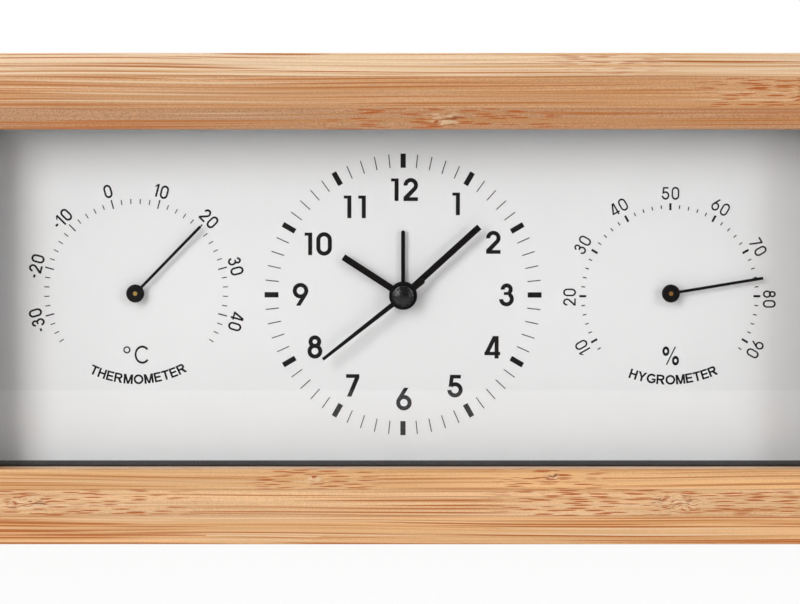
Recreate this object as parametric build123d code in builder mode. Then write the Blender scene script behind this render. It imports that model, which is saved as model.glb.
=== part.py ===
from build123d import *
import os
from math import cos, radians, sin, sqrt

os.makedirs("parts", exist_ok=True)

# All lengths are millimetres. X runs to the right as the dial is read, Y runs back from the
# dial and Z up. The origin is the middle of the face that the clock stands on.

# Wooden frame
frame_width = 220
frame_height = 110
frame_depth = 45
board_thickness = 17
lip_depth = 5  # front lip that the pane rests against
seat_step = 4  # rebate behind the lip
cover_step = 5  # second rebate, for the rear cover
cover_recess = 4  # from the back edge of the boards to the cover
edge_round = 0.5
corner_ease = 0.6

# Slips glued across the mitres
slip_thickness = 1.5
slip_width = 8
slip_length = 7

# Clearances
glue_gap = 0.05
seat_gap = 0.2  # round what lies in a rebate
running_gap = 0.05  # between a shaft and its hole
push_gap = 0.02  # between pieces that are pushed together
slide_gap = 0.1  # between faces that pass each other
knob_gap = 0.6  # round a knob in the rear cover

# Pane, spacer frame, dial sheet and dial carrier, from front to back
glass_thickness = 2
spacer_depth = 9
sheet_thickness = 0.4
carrier_thickness = 2
dial_hole_radius = 3
dial_screw_spread = 50  # of the screws in the long rails
dial_screw_radius = 0.7
dial_screw_length = 7
dial_head_radius = 1.4
dial_head_height = 0.8

# Housing of the movement, measured from the axis of the hands
movement_depth = 20
front_housing_depth = 14
housing_wall = 1.5
housing_half_width = 32
housing_above = 27
chamber_below = 16.1  # of the gear chamber's floor
housing_corner = 2
partition_thickness = 1.2
bush_radius = 4.8
ear_radius = 3.5
ear_above = 20
ear_below = 26
ear_standoff = 4  # from the carrier to the ear
ear_thickness = 2
ear_boss_radius = 3
movement_screw_radius = 1.1
movement_screw_length = 6
movement_head_radius = 2.2
movement_head_height = 1.2
housing_post_radius = 3
housing_post_inset = 3.6  # of the upper posts from the outside
housing_screw_radius = 0.9
housing_screw_length = 8
housing_head_radius = 1.8
housing_head_height = 1.2
housing_head_sink = 1.6

# Battery bay
battery_radius = 7.1
battery_length = 49.2
battery_nub_radius = 2.7
battery_nub_length = 1
battery_gap = 0.5  # round the cell in its bay
battery_sink = 1  # from the back of the housing to the cell
contact_size = 9
contact_thickness = 0.4
cradle_rib_thickness = 1.5
cradle_rib_spread = 15

# Wheel train, in layers from front to back
first_layer_gap = 0.4
layer_pitch = 0.9
wheel_thickness = 0.6
tooth_tip_share = 0.12  # half the width of a tooth, in shares of a tooth pitch
tooth_root_share = 0.30
addendum_share = 0.9  # in shares of the module
dedendum_share = 1.2
pinion_teeth = 8
third_teeth = 60
minute_teeth = 64
second_teeth = 48
fifth_teeth = 40
cannon_teeth = 12
motion_teeth = 36
motion_pinion_teeth = 10
hour_teeth = 40
alarm_teeth = 36
alarm_pinion_teeth = 12
third_module = 0.3
second_module = 0.36
rotor_module = 0.25
cannon_module = 0.45
alarm_module = 0.45
third_angle = 60  # of each shaft round the hands' axis
fifth_angle = 125
motion_angle = -35
alarm_set_angle = 215
arbor_radius = 0.4
set_shaft_radius = 0.75
pivot_depth = 1
tube_wall = 0.5
alarm_tube_wall = 0.6

# Motor
magnet_radius = 2.2
magnet_length = 2.5
magnet_gap = 0.4
stator_thickness = 0.8
stator_arm = 2.2
stator_border = 1.2
coil_height = 21  # of its axis over the hands' axis
coil_length = 16
coil_radius = 3.1
coil_tube_radius = 1.8
coil_flange_radius = 3.4
coil_flange_thickness = 0.8
core_depth = 1.6
core_height = 2.2
stator_post_radius = 0.9

# Train bridge and circuit board
bridge_gap = 0.4
bridge_thickness = 1.2
bridge_half_width = 22
bridge_top = 16.3
bridge_bottom = 14
bridge_post_radius = 1.75
bridge_post_spread = 19.5
bridge_post_low = 11.5
bridge_post_left = 5
bridge_post_right = 12
bridge_screw_radius = 0.7
bridge_screw_length = 5
bridge_head_radius = 1.4
bridge_head_height = 0.7
board_half_width = 15
board_bottom = 1.5
board_height = 14.5
circuit_thickness = 1
chip_radius = 3
chip_height = 0.9
chip_place = (-9, 10)
crystal_radius = 1.25
crystal_length = 8
crystal_height = 5
alarm_leaf_thickness = 0.15
alarm_leaf_width = 2
alarm_leaf_reach = 7  # of its free end from the hands' axis
alarm_leaf_post = 23
alarm_leaf_post_radius = 1.5
alarm_leaf_gap = 0.07

# Buzzer and sound holes
buzzer_radius = 8.5
buzzer_depth = 3
buzzer_place = (17, 12)
sound_hole_radius = 0.9
sound_ring_radius = 4.5
sound_hole_count = 6

# Alarm switch
switch_place = (-16, 10)
switch_travel = 3
switch_stem = 3
switch_stem_height = 2.4
switch_flange = 9
switch_flange_height = 5
switch_flange_thickness = 0.8
switch_thumb = 5
switch_thumb_height = 3.4
switch_rise = 1.2  # of the thumb piece over the cover

# Setting knobs
knob_radius = 6
knob_bore_depth = 4
knob_inset = 0.6  # of the knob's end from the back edge of the boards
knob_lift = 0.3  # from the housing to the knob
knob_flute_radius = 0.45
knob_flute_count = 24
knob_rim = 1.2
knob_dish = 0.8

# Hands: lengths from the axis, and how far each stands off the dial
alarm_hand_length = 14.4
alarm_hand_width = 0.9
alarm_hand_standoff = 1
hour_hand_length = 16.2
hour_hand_width = 1.5
hour_hand_standoff = 2
minute_hand_length = 23.4
minute_hand_width = 1.45
minute_hand_standoff = 3
second_hand_length = 23.2
second_hand_tip_width = 0.7
second_hand_width = 1.15
second_hand_tail = 6.1
second_hand_tail_width = 1.3
second_hand_standoff = 4.1
hand_thickness = 0.4
hand_hub_radius = 3.2
minute_hub_radius = 2.9
hand_collar_wall = 0.7
hand_collar_length = 0.5
second_hub_radius = 1.6
cap_radius = 2.4
cap_rim_height = 0.7
cap_dome_height = 0.5
cap_groove_inset = 0.3
cap_groove_width = 0.18
cap_groove_depth = 0.12
# Ten past ten and thirty-eight seconds, with the alarm at twelve, clockwise from upright
alarm_hand_turn = 0
hour_hand_turn = -57
minute_hand_turn = 47.7
second_hand_turn = 231.8

# Thermometer on the left and hygrometer on the right
gauge_inset = 32  # of the gauges from the sides of the opening
gauge_rise = 0.5  # of the gauges over the hands' axis
thermometer_turn = 44.3
hygrometer_turn = 80.6
pointer_length = 21.3
pointer_width = 0.65
pointer_thickness = 0.25
pointer_standoff = 1.6
pointer_hub_radius = 2.05
pointer_hub_height = 1
pointer_hub_round = 0.35
gauge_shaft_radius = 0.48
gauge_hole_radius = 0.9  # in the dial sheet
gauge_collar_radius = 2.2
gauge_collar_height = 2
gauge_boss_radius = 2.6
gauge_boss_height = 3
coil_strip_width = 4
coil_standoff = 2.8  # from the carrier to the strip
coil_eye_radius = 1.4
thermometer_strip = 0.3
thermometer_coil_turns = 4
thermometer_coil_pitch = 2.2
hygrometer_strip = 0.4
hygrometer_coil_turns = 3
hygrometer_coil_pitch = 2.9
bracket_metal = 0.8
bracket_half_span = 13.2
bracket_foot = 5
bracket_half_height = 3.5
bracket_rise = 9.3
gauge_screw_radius = 0.8
gauge_screw_length = 3.6
gauge_head_radius = 1.5
gauge_head_height = 0.8

# Rear cover and battery door
cover_thickness = 2.4
cover_corner = 1
clamp_post_radius = 2.5
clamp_inset = 6.5  # of the corner posts from the rebate's walls
clamp_post_drop = 4  # of the other posts from the rebate's walls
clamp_post_spread = 44
vent_width = 1.6
vent_height = 20
vent_spacing = 4.2
vent_count = 6
cover_screw_inset = 12  # from the ends of the cover
cover_screw_radius = 1.2
cover_screw_length = 12
cover_head_radius = 2.3
cover_head_height = 1.4
cross_slot_width = 0.5
cross_slot_depth = 0.6
cross_slot_share = 0.62  # of the head's radius
door_thickness = 1.4
door_margin = 2.2  # of the door round the opening for the cell
door_gap = 0.2
door_corner = 1.2
door_grip_width = 12
door_grip_height = 0.8
door_grip_depth = 0.5
door_grip_spacing = 1.8
door_grip_count = 4
door_grip_drop = 2.4  # of the first groove from the door's upper edge
door_rib_thickness = 1
door_rib_spread = 18

# Sizes worked out from the ones above
front_y = -frame_depth / 2
back_y = frame_depth / 2
glass_y = front_y + lip_depth
spacer_y = glass_y + glass_thickness
dial_y = spacer_y + spacer_depth
carrier_y = dial_y + sheet_thickness
housing_y = carrier_y + carrier_thickness
inside_y = housing_y + housing_wall
split_y = housing_y + front_housing_depth
housing_back_y = housing_y + movement_depth
cover_back_y = back_y - cover_recess
cover_y = cover_back_y - cover_thickness
dial_z = frame_height / 2
opening_width = frame_width - 2 * board_thickness
opening_height = frame_height - 2 * board_thickness
seat_width = opening_width + 2 * seat_step
seat_height = opening_height + 2 * seat_step
cover_width = seat_width + 2 * cover_step
cover_height = seat_height + 2 * cover_step
cover_screw_spread = cover_width / 2 - cover_screw_inset
gauge_spacing = opening_width / 2 - gauge_inset
past = frame_depth  # overrun of the cuts that go right through


def facing(y, place=(0, 0), turn=0):
    """A plane seen from the front, y deep, off the dial's centre, turned clockwise."""
    return Plane(
        origin=(place[0], y, dial_z + place[1]),
        x_dir=(cos(radians(turn)), 0, -sin(radians(turn))),
        z_dir=(0, -1, 0),
    )


def round_bars(radius, places, near, far, mode=Mode.ADD):
    """Round bars, or holes, from the depth near back to the depth far."""
    with BuildSketch(facing(near)) as section:
        with Locations(*places):
            Circle(radius)
    extrude(section.sketch, amount=near - far, mode=mode)


def blocks(width, height, places, near, far, mode=Mode.ADD):
    """Square-edged blocks, or openings, from the depth near back to the depth far."""
    with BuildSketch(facing(near)) as section:
        with Locations(*places):
            Rectangle(width, height)
    extrude(section.sketch, amount=near - far, mode=mode)


def polar(distance, angle):
    """A place round the hands' axis, anticlockwise from the right."""
    return (distance * cos(radians(angle)), distance * sin(radians(angle)))


def ring_places(middle, radius, count):
    """Places evenly spaced on a circle round middle."""
    spokes = [polar(radius, n * 360 / count) for n in range(count)]
    return [(middle[0] + across, middle[1] + up) for across, up in spokes]


def add_slips(gap, mode):
    """The slips across the four mitres, or the slots for them."""
    middle = (board_thickness - seat_step) / sqrt(2)
    for side in (-1, 1):
        for level in (-1, 1):
            inward = Vector(-side, 0, -level).normalized()
            corner = Vector(side * frame_width / 2, (glass_y + cover_y) / 2, dial_z * (1 + level))
            spot = Plane(origin=corner + inward * middle, x_dir=inward, z_dir=(0, 1, 0))
            with BuildSketch(spot) as section:
                Rectangle(slip_length + 2 * gap, slip_width + 2 * gap)
            extrude(section.sketch, amount=slip_thickness / 2 + gap, both=True, mode=mode)


def mitred_board(outer_middle, run, length):
    """One board of the frame. Its outer face is at outer_middle, and it is mitred at both ends."""
    inward = Vector(run).cross(Vector(0, 1, 0))
    seat = board_thickness - seat_step
    with BuildPart() as board:
        with BuildSketch(Plane(origin=outer_middle, x_dir=(0, 1, 0), z_dir=run)):
            with BuildLine():
                Polyline(
                    (front_y, 0),
                    (back_y, 0),
                    (back_y, seat - cover_step),
                    (cover_y, seat - cover_step),
                    (cover_y, seat),
                    (glass_y, seat),
                    (glass_y, board_thickness),
                    (front_y, board_thickness),
                    close=True,
                )
            make_face()
        extrude(amount=length / 2, both=True)
        long_edges = board.edges().filter_by(Axis(outer_middle, run))
        fillet(
            long_edges.filter_by_position(Axis.Y, front_y, front_y)
            + long_edges.filter_by_position(Axis.Y, back_y, back_y),
            edge_round,
        )
        for end in (-1, 1):
            along = Vector(run) * end
            corner = Vector(outer_middle) + along * (length / 2)
            split(bisect_by=Plane(origin=corner, z_dir=along + inward), keep=Keep.BOTTOM)
            tip = (along - inward).normalized()
            split(bisect_by=Plane(origin=corner - tip * corner_ease, z_dir=tip), keep=Keep.BOTTOM)
        add_slips(glue_gap, Mode.SUBTRACT)
        round_bars(
            cover_screw_radius + glue_gap,
            cover_screw_places,
            cover_back_y - cover_screw_length - glue_gap,
            cover_y,
            Mode.SUBTRACT,
        )
    return board


cover_screw_places = [
    (side * cover_screw_spread, level * (seat_height + cover_step) / 2)
    for side in (-1, 0, 1)
    for level in (-1, 1)
]

# Bamboo boards, mitred at the corners
bottom_board = mitred_board((0, 0, 0), (1, 0, 0), frame_width)
bottom_board.part.label = "bottom_board"
export_step(bottom_board.part, "parts/bottom_board.step")

top_board = mitred_board((0, 0, frame_height), (-1, 0, 0), frame_width)
top_board.part.label = "top_board"
export_step(top_board.part, "parts/top_board.step")

left_board = mitred_board((-frame_width / 2, 0, dial_z), (0, 0, -1), frame_height)
left_board.part.label = "left_board"
export_step(left_board.part, "parts/left_board.step")

right_board = mitred_board((frame_width / 2, 0, dial_z), (0, 0, 1), frame_height)
right_board.part.label = "right_board"
export_step(right_board.part, "parts/right_board.step")

with BuildPart() as corner_slips:
    add_slips(0, Mode.ADD)
corner_slips.part.label = "corner_slips"
export_step(corner_slips.part, "parts/corner_slips.step")

# Flat pane in front
with BuildPart() as front_glass:
    with BuildSketch(facing(glass_y)):
        Rectangle(seat_width - 2 * seat_gap, seat_height - 2 * seat_gap)
    extrude(amount=-glass_thickness)
front_glass.part.label = "front_glass"
export_step(front_glass.part, "parts/front_glass.step")

# Screws through the dial carrier into the rails of the spacer frame
rail_width = seat_step - seat_gap
dial_screw_places = [(side * (opening_width + seat_step) / 2, 0) for side in (-1, 1)] + [
    (side * dial_screw_spread, level * (opening_height + seat_step) / 2)
    for side in (-1, 1)
    for level in (-1, 1)
]

with BuildPart() as spacer_frame:
    with BuildSketch(facing(spacer_y)):
        Rectangle(opening_width + 2 * rail_width, opening_height + 2 * rail_width)
        Rectangle(opening_width, opening_height, mode=Mode.SUBTRACT)
    extrude(amount=-spacer_depth)
    round_bars(
        dial_screw_radius + push_gap,
        dial_screw_places,
        housing_y - dial_screw_length - push_gap,
        dial_y,
        Mode.SUBTRACT,
    )
spacer_frame.part.label = "spacer_frame"
export_step(spacer_frame.part, "parts/spacer_frame.step")

gauge_places = [(-gauge_spacing, gauge_rise), (gauge_spacing, gauge_rise)]

with BuildPart() as dial_sheet:
    with BuildSketch(facing(dial_y)):
        Rectangle(opening_width + 2 * rail_width, opening_height + 2 * rail_width)
        Circle(dial_hole_radius, mode=Mode.SUBTRACT)
        with Locations(*gauge_places):
            Circle(gauge_hole_radius, mode=Mode.SUBTRACT)
        with Locations(*dial_screw_places):
            Circle(dial_screw_radius + push_gap, mode=Mode.SUBTRACT)
    extrude(amount=-sheet_thickness)
dial_sheet.part.label = "dial_sheet"
export_step(dial_sheet.part, "parts/dial_sheet.step")

ear_places = [
    (side * (housing_half_width + ear_radius), level)
    for side in (-1, 1)
    for level in (-ear_below, ear_above)
]
foot_x = bracket_half_span + bracket_foot / 2
bracket_screw_places = [
    (gauge[0] + side * foot_x, gauge[1]) for gauge in gauge_places for side in (-1, 1)
]

# Moulded carrier behind the dial sheet, with the bosses that hold the works
with BuildPart() as dial_carrier:
    with BuildSketch(facing(carrier_y)):
        Rectangle(opening_width + 2 * rail_width, opening_height + 2 * rail_width)
    extrude(amount=-carrier_thickness)
    round_bars(ear_boss_radius, ear_places, housing_y, housing_y + ear_standoff)
    round_bars(gauge_boss_radius, bracket_screw_places, housing_y, housing_y + gauge_boss_height)
    round_bars(gauge_collar_radius, gauge_places, housing_y, housing_y + gauge_collar_height)
    round_bars(bush_radius + seat_gap, [(0, 0)], carrier_y - past, past, Mode.SUBTRACT)
    round_bars(
        gauge_shaft_radius + running_gap, gauge_places, carrier_y - past, past, Mode.SUBTRACT
    )
    round_bars(
        dial_screw_radius + push_gap, dial_screw_places, carrier_y - past, past, Mode.SUBTRACT
    )
    round_bars(
        movement_screw_radius + push_gap,
        ear_places,
        housing_y + ear_standoff + ear_thickness - movement_screw_length - push_gap,
        past,
        Mode.SUBTRACT,
    )
    round_bars(
        gauge_screw_radius + push_gap,
        bracket_screw_places,
        housing_y + gauge_boss_height + bracket_metal - gauge_screw_length - push_gap,
        past,
        Mode.SUBTRACT,
    )
dial_carrier.part.label = "dial_carrier"
export_step(dial_carrier.part, "parts/dial_carrier.step")


def screw_group(places, seat, shank_radius, shank_length, head_radius, head_height):
    """Cross-slotted screws driven from the back: heads behind the depth seat, shanks before it."""
    with BuildPart() as group:
        round_bars(head_radius, places, seat, seat + head_height)
        round_bars(shank_radius, places, seat - shank_length, seat)
        slot = 2 * cross_slot_share * head_radius
        top = seat + head_height
        blocks(slot, cross_slot_width, places, top - cross_slot_depth, top, Mode.SUBTRACT)
        blocks(cross_slot_width, slot, places, top - cross_slot_depth, top, Mode.SUBTRACT)
    return group


dial_screws = screw_group(
    dial_screw_places,
    housing_y,
    dial_screw_radius,
    dial_screw_length,
    dial_head_radius,
    dial_head_height,
)
dial_screws.part.label = "dial_screws"
export_step(dial_screws.part, "parts/dial_screws.step")


# Housing of the movement: a gear chamber above and the battery bay below
chamber_top = housing_above - housing_wall
bay_height = 2 * (battery_radius + battery_gap)
bay_middle = -chamber_below - partition_thickness - bay_height / 2
housing_below = chamber_below + partition_thickness + bay_height + housing_wall
bay_half_width = battery_length / 2 + battery_nub_length / 2 + contact_thickness + 2 * slide_gap
battery_y = housing_back_y - battery_sink - battery_radius
upper_post_places = [
    (side * (housing_half_width - housing_post_inset), housing_above - housing_post_inset)
    for side in (-1, 1)
]
housing_screw_places = upper_post_places + [
    (side * (housing_half_width + bay_half_width) / 2, bay_middle) for side in (-1, 1)
]


def housing_half(near, far, chamber_near, chamber_far):
    """One half of the housing, hollowed by the chamber and the bay, with posts in the corners."""
    with BuildPart() as half:
        with BuildSketch(facing(near, (0, (housing_above - housing_below) / 2))):
            RectangleRounded(2 * housing_half_width, housing_above + housing_below, housing_corner)
        extrude(amount=near - far)
        blocks(
            2 * (housing_half_width - housing_wall),
            chamber_top + chamber_below,
            [(0, (chamber_top - chamber_below) / 2)],
            chamber_near,
            chamber_far,
            Mode.SUBTRACT,
        )
        blocks(
            2 * bay_half_width,
            bay_height,
            [(0, bay_middle)],
            chamber_near,
            max(chamber_far, far),
            Mode.SUBTRACT,
        )
        round_bars(housing_post_radius, upper_post_places, chamber_near, chamber_far)
    return half


def layer_y(layer):
    """The depth of the front face of the wheels on a layer."""
    return inside_y + first_layer_gap + layer * layer_pitch


# Centre distances of the train, and the modules that follow from them
third_distance = third_module * (pinion_teeth + third_teeth) / 2
minute_module = 2 * third_distance / (pinion_teeth + minute_teeth)
motion_distance = cannon_module * (cannon_teeth + motion_teeth) / 2
hour_module = 2 * motion_distance / (motion_pinion_teeth + hour_teeth)
fifth_distance = second_module * (pinion_teeth + second_teeth) / 2
rotor_distance = rotor_module * (pinion_teeth + fifth_teeth) / 2
alarm_distance = alarm_module * (alarm_pinion_teeth + alarm_teeth) / 2
hands_axis = (0, 0)
third_axis = polar(third_distance, third_angle)
motion_axis = polar(motion_distance, motion_angle)
fifth_axis = polar(fifth_distance, fifth_angle)
rotor_axis = polar(fifth_distance + rotor_distance, fifth_angle)
alarm_set_axis = polar(alarm_distance, alarm_set_angle)

magnet_y = layer_y(7)
bridge_y = magnet_y + magnet_length + bridge_gap
bridge_back_y = bridge_y + bridge_thickness
stator_y = magnet_y + (magnet_length - stator_thickness) / 2
front_pivot_y = inside_y - pivot_depth
back_pivot_y = bridge_y + pivot_depth

# Tubes of the hands, one inside the other, from the second hand's arbor outwards
minute_tube_bore = arbor_radius + running_gap
minute_tube_radius = minute_tube_bore + tube_wall
hour_tube_bore = minute_tube_radius + running_gap
hour_tube_radius = hour_tube_bore + tube_wall
alarm_tube_bore = hour_tube_radius + running_gap
alarm_tube_radius = alarm_tube_bore + alarm_tube_wall

bridge_post_places = [
    (-bridge_post_spread, -bridge_post_low),
    (bridge_post_spread, -bridge_post_low),
    (-bridge_post_spread, bridge_post_left),
    (bridge_post_spread, bridge_post_right),
]
stator_half_width = coil_length / 2 + stator_arm
stator_post_places = [
    (rotor_axis[0] + side * (coil_length / 2 + stator_arm / 2), coil_height - stator_arm)
    for side in (-1, 1)
]
small_arbor_places = [third_axis, fifth_axis, rotor_axis]
set_arbor_places = [motion_axis, alarm_set_axis]

# Front half of the housing
movement_front_housing = housing_half(housing_y, split_y, inside_y, split_y)
with movement_front_housing:
    for side in (-1, 1):
        blocks(
            ear_radius,
            2 * ear_radius,
            [(side * (housing_half_width + ear_radius / 2), z) for z in (-ear_below, ear_above)],
            housing_y + ear_standoff,
            housing_y + ear_standoff + ear_thickness,
        )
    round_bars(
        ear_radius, ear_places, housing_y + ear_standoff, housing_y + ear_standoff + ear_thickness
    )
    round_bars(
        movement_screw_radius + running_gap, ear_places, housing_y, split_y, Mode.SUBTRACT
    )
    round_bars(bush_radius, [hands_axis], carrier_y, housing_y)
    round_bars(alarm_tube_radius + running_gap, [hands_axis], carrier_y, inside_y, Mode.SUBTRACT)
    round_bars(bridge_post_radius, bridge_post_places, inside_y, bridge_y)
    round_bars(
        bridge_screw_radius + push_gap,
        bridge_post_places,
        bridge_back_y - bridge_screw_length - push_gap,
        bridge_y,
        Mode.SUBTRACT,
    )
    round_bars(stator_post_radius, stator_post_places, inside_y, stator_y)
    round_bars(
        alarm_leaf_post_radius,
        [(-alarm_leaf_post, 0)],
        inside_y,
        layer_y(1) + wheel_thickness + alarm_leaf_gap,
    )
    round_bars(
        arbor_radius + running_gap, small_arbor_places, front_pivot_y, inside_y, Mode.SUBTRACT
    )
    round_bars(
        set_shaft_radius + running_gap, set_arbor_places, front_pivot_y, inside_y, Mode.SUBTRACT
    )
    round_bars(
        housing_screw_radius + push_gap,
        housing_screw_places,
        housing_back_y - housing_head_sink - housing_screw_length - push_gap,
        split_y,
        Mode.SUBTRACT,
    )
    blocks(
        cradle_rib_thickness,
        bay_height,
        [(side * cradle_rib_spread, bay_middle) for side in (-1, 1)],
        inside_y,
        battery_y - battery_radius - slide_gap,
    )
movement_front_housing.part.label = "movement_front_housing"
export_step(movement_front_housing.part, "parts/movement_front_housing.step")

# Rear half of the housing, open over the battery bay
switch_middle = (switch_place[0] + switch_travel / 2, switch_place[1])
sound_hole_places = [buzzer_place] + ring_places(buzzer_place, sound_ring_radius, sound_hole_count)
movement_rear_housing = housing_half(
    split_y, housing_back_y, split_y, housing_back_y - housing_wall
)
with movement_rear_housing:
    round_bars(
        set_shaft_radius + slide_gap, set_arbor_places, split_y, housing_back_y, Mode.SUBTRACT
    )
    round_bars(
        housing_screw_radius + running_gap, housing_screw_places, split_y, housing_back_y, Mode.SUBTRACT
    )
    round_bars(
        housing_head_radius + slide_gap,
        housing_screw_places,
        housing_back_y - housing_head_sink,
        housing_back_y,
        Mode.SUBTRACT,
    )
    blocks(
        switch_stem + switch_travel + 2 * slide_gap,
        switch_stem_height + 2 * slide_gap,
        [switch_middle],
        split_y,
        housing_back_y,
        Mode.SUBTRACT,
    )
    round_bars(sound_hole_radius, sound_hole_places, split_y, housing_back_y, Mode.SUBTRACT)
movement_rear_housing.part.label = "movement_rear_housing"
export_step(movement_rear_housing.part, "parts/movement_rear_housing.step")

housing_screws = screw_group(
    housing_screw_places,
    housing_back_y - housing_head_sink,
    housing_screw_radius,
    housing_screw_length,
    housing_head_radius,
    housing_head_height,
)
housing_screws.part.label = "housing_screws"
export_step(housing_screws.part, "parts/housing_screws.step")

movement_screws = screw_group(
    ear_places,
    housing_y + ear_standoff + ear_thickness,
    movement_screw_radius,
    movement_screw_length,
    movement_head_radius,
    movement_head_height,
)
movement_screws.part.label = "movement_screws"
export_step(movement_screws.part, "parts/movement_screws.step")


def toothed_disc(teeth, module, phase, place, near, far):
    """A toothed disc with straight-sided teeth, one of them at the angle phase."""
    pitch = 360 / teeth
    tip = teeth * module / 2 + addendum_share * module
    root = teeth * module / 2 - dedendum_share * module
    corners = (
        (root, -tooth_root_share),
        (tip, -tooth_tip_share),
        (tip, tooth_tip_share),
        (root, tooth_root_share),
    )
    points = [
        polar(radius, phase + (tooth + share) * pitch)
        for tooth in range(teeth)
        for radius, share in corners
    ]
    with BuildSketch(facing(near, place)) as outline:
        Polygon(*points, align=None)
    extrude(outline.sketch, amount=near - far)


def meshed(angle, teeth, other_teeth, phase=0):
    """The phase of a disc whose teeth fall in the gaps of another that lies at angle from it."""
    # angle points from the other disc, which has a tooth at phase, to this one
    return angle + 180 + (180 - (phase - angle) * other_teeth) / teeth


# Train bridge that holds the back pivots
bridge_shape = (2 * bridge_half_width, bridge_top + bridge_bottom)
with BuildPart() as train_bridge:
    blocks(*bridge_shape, [(0, (bridge_top - bridge_bottom) / 2)], bridge_y, bridge_back_y)
    round_bars(
        arbor_radius + running_gap,
        small_arbor_places + [hands_axis],
        bridge_y,
        bridge_back_y,
        Mode.SUBTRACT,
    )
    round_bars(
        set_shaft_radius + running_gap, set_arbor_places, bridge_y, bridge_back_y, Mode.SUBTRACT
    )
    round_bars(
        bridge_screw_radius + running_gap,
        bridge_post_places,
        bridge_y,
        bridge_back_y,
        Mode.SUBTRACT,
    )
train_bridge.part.label = "train_bridge"
export_step(train_bridge.part, "parts/train_bridge.step")

bridge_screws = screw_group(
    bridge_post_places,
    bridge_back_y,
    bridge_screw_radius,
    bridge_screw_length,
    bridge_head_radius,
    bridge_head_height,
)
bridge_screws.part.label = "bridge_screws"
export_step(bridge_screws.part, "parts/bridge_screws.step")

# Circuit board on the bridge, with its chip and quartz crystal
board_middle = board_bottom + board_height / 2
with BuildPart() as circuit_board:
    blocks(
        2 * board_half_width,
        board_height,
        [(0, board_middle)],
        bridge_back_y,
        bridge_back_y + circuit_thickness,
    )
circuit_board.part.label = "circuit_board"
export_step(circuit_board.part, "parts/circuit_board.step")

circuit_back_y = bridge_back_y + circuit_thickness
with BuildPart() as chip:
    round_bars(chip_radius, [chip_place], circuit_back_y, circuit_back_y + chip_height)
    fillet(chip.faces().sort_by(Axis.Y)[-1].edges(), chip_height / 2)
chip.part.label = "chip"
export_step(chip.part, "parts/chip.step")

with BuildPart() as quartz_crystal:
    lying = Plane(
        origin=(0, circuit_back_y + crystal_radius, dial_z + crystal_height), z_dir=(1, 0, 0)
    )
    with BuildSketch(lying):
        Circle(crystal_radius)
    extrude(amount=crystal_length)
quartz_crystal.part.label = "quartz_crystal"
export_step(quartz_crystal.part, "parts/quartz_crystal.step")

# Stepping motor: stator, coil with its core, and the rotor with its magnet
stator_bottom = rotor_axis[1] - magnet_radius - magnet_gap - stator_border
coil_window_bottom = coil_height - coil_flange_radius - magnet_gap
stator_middle = rotor_axis[0]
with BuildPart() as stator:
    blocks(
        2 * stator_half_width,
        coil_height + core_height / 2 - stator_bottom,
        [(stator_middle, (coil_height + core_height / 2 + stator_bottom) / 2)],
        stator_y,
        stator_y + stator_thickness,
    )
    blocks(
        coil_length + 2 * slide_gap,
        past,
        [(stator_middle, coil_window_bottom + past / 2)],
        stator_y,
        stator_y + stator_thickness,
        Mode.SUBTRACT,
    )
    round_bars(
        magnet_radius + magnet_gap,
        [rotor_axis],
        stator_y,
        stator_y + stator_thickness,
        Mode.SUBTRACT,
    )
stator.part.label = "stator"
export_step(stator.part, "parts/stator.step")

core_y = stator_y + stator_thickness
with BuildPart() as coil_core:
    blocks(
        2 * stator_half_width,
        core_height,
        [(stator_middle, coil_height)],
        core_y,
        core_y + core_depth,
    )
coil_core.part.label = "coil_core"
export_step(coil_core.part, "parts/coil_core.step")


def coil_section(offset):
    """The plane across the coil's axis, offset from its middle to the right."""
    return Plane(
        origin=(stator_middle + offset, core_y + core_depth / 2, dial_z + coil_height),
        x_dir=(0, 1, 0),
        z_dir=(1, 0, 0),
    )


winding_half = coil_length / 2 - coil_flange_thickness
with BuildPart() as coil_bobbin:
    for inner, outer, radius in (
        (-coil_length / 2, -winding_half, coil_flange_radius),
        (-winding_half, winding_half, coil_tube_radius),
        (winding_half, coil_length / 2, coil_flange_radius),
    ):
        with BuildSketch(coil_section(inner)):
            Circle(radius)
            Rectangle(
                core_depth + 2 * running_gap, core_height + 2 * running_gap, mode=Mode.SUBTRACT
            )
        extrude(amount=outer - inner)
coil_bobbin.part.label = "coil_bobbin"
export_step(coil_bobbin.part, "parts/coil_bobbin.step")

with BuildPart() as coil_winding:
    with BuildSketch(coil_section(-winding_half)):
        Circle(coil_radius)
        Circle(coil_tube_radius + push_gap, mode=Mode.SUBTRACT)
    extrude(amount=2 * winding_half)
coil_winding.part.label = "coil_winding"
export_step(coil_winding.part, "parts/coil_winding.step")

with BuildPart() as rotor_pinion:
    toothed_disc(pinion_teeth, rotor_module, 0, rotor_axis, layer_y(6), magnet_y)
    round_bars(arbor_radius, [rotor_axis], front_pivot_y, back_pivot_y)
rotor_pinion.part.label = "rotor_pinion"
export_step(rotor_pinion.part, "parts/rotor_pinion.step")

with BuildPart() as rotor_magnet:
    round_bars(magnet_radius, [rotor_axis], magnet_y, magnet_y + magnet_length)
    round_bars(
        arbor_radius + push_gap,
        [rotor_axis],
        magnet_y,
        magnet_y + magnet_length,
        Mode.SUBTRACT,
    )
rotor_magnet.part.label = "rotor_magnet"
export_step(rotor_magnet.part, "parts/rotor_magnet.step")


def wheel_and_pinion(axis, layer, wheel, pinion):
    """A wheel on its layer with its pinion in front, each given as teeth, module and phase."""
    with BuildPart() as pair:
        toothed_disc(*wheel, axis, layer_y(layer), layer_y(layer) + wheel_thickness)
        toothed_disc(*pinion, axis, layer_y(layer - 1), layer_y(layer))
    return pair


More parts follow.
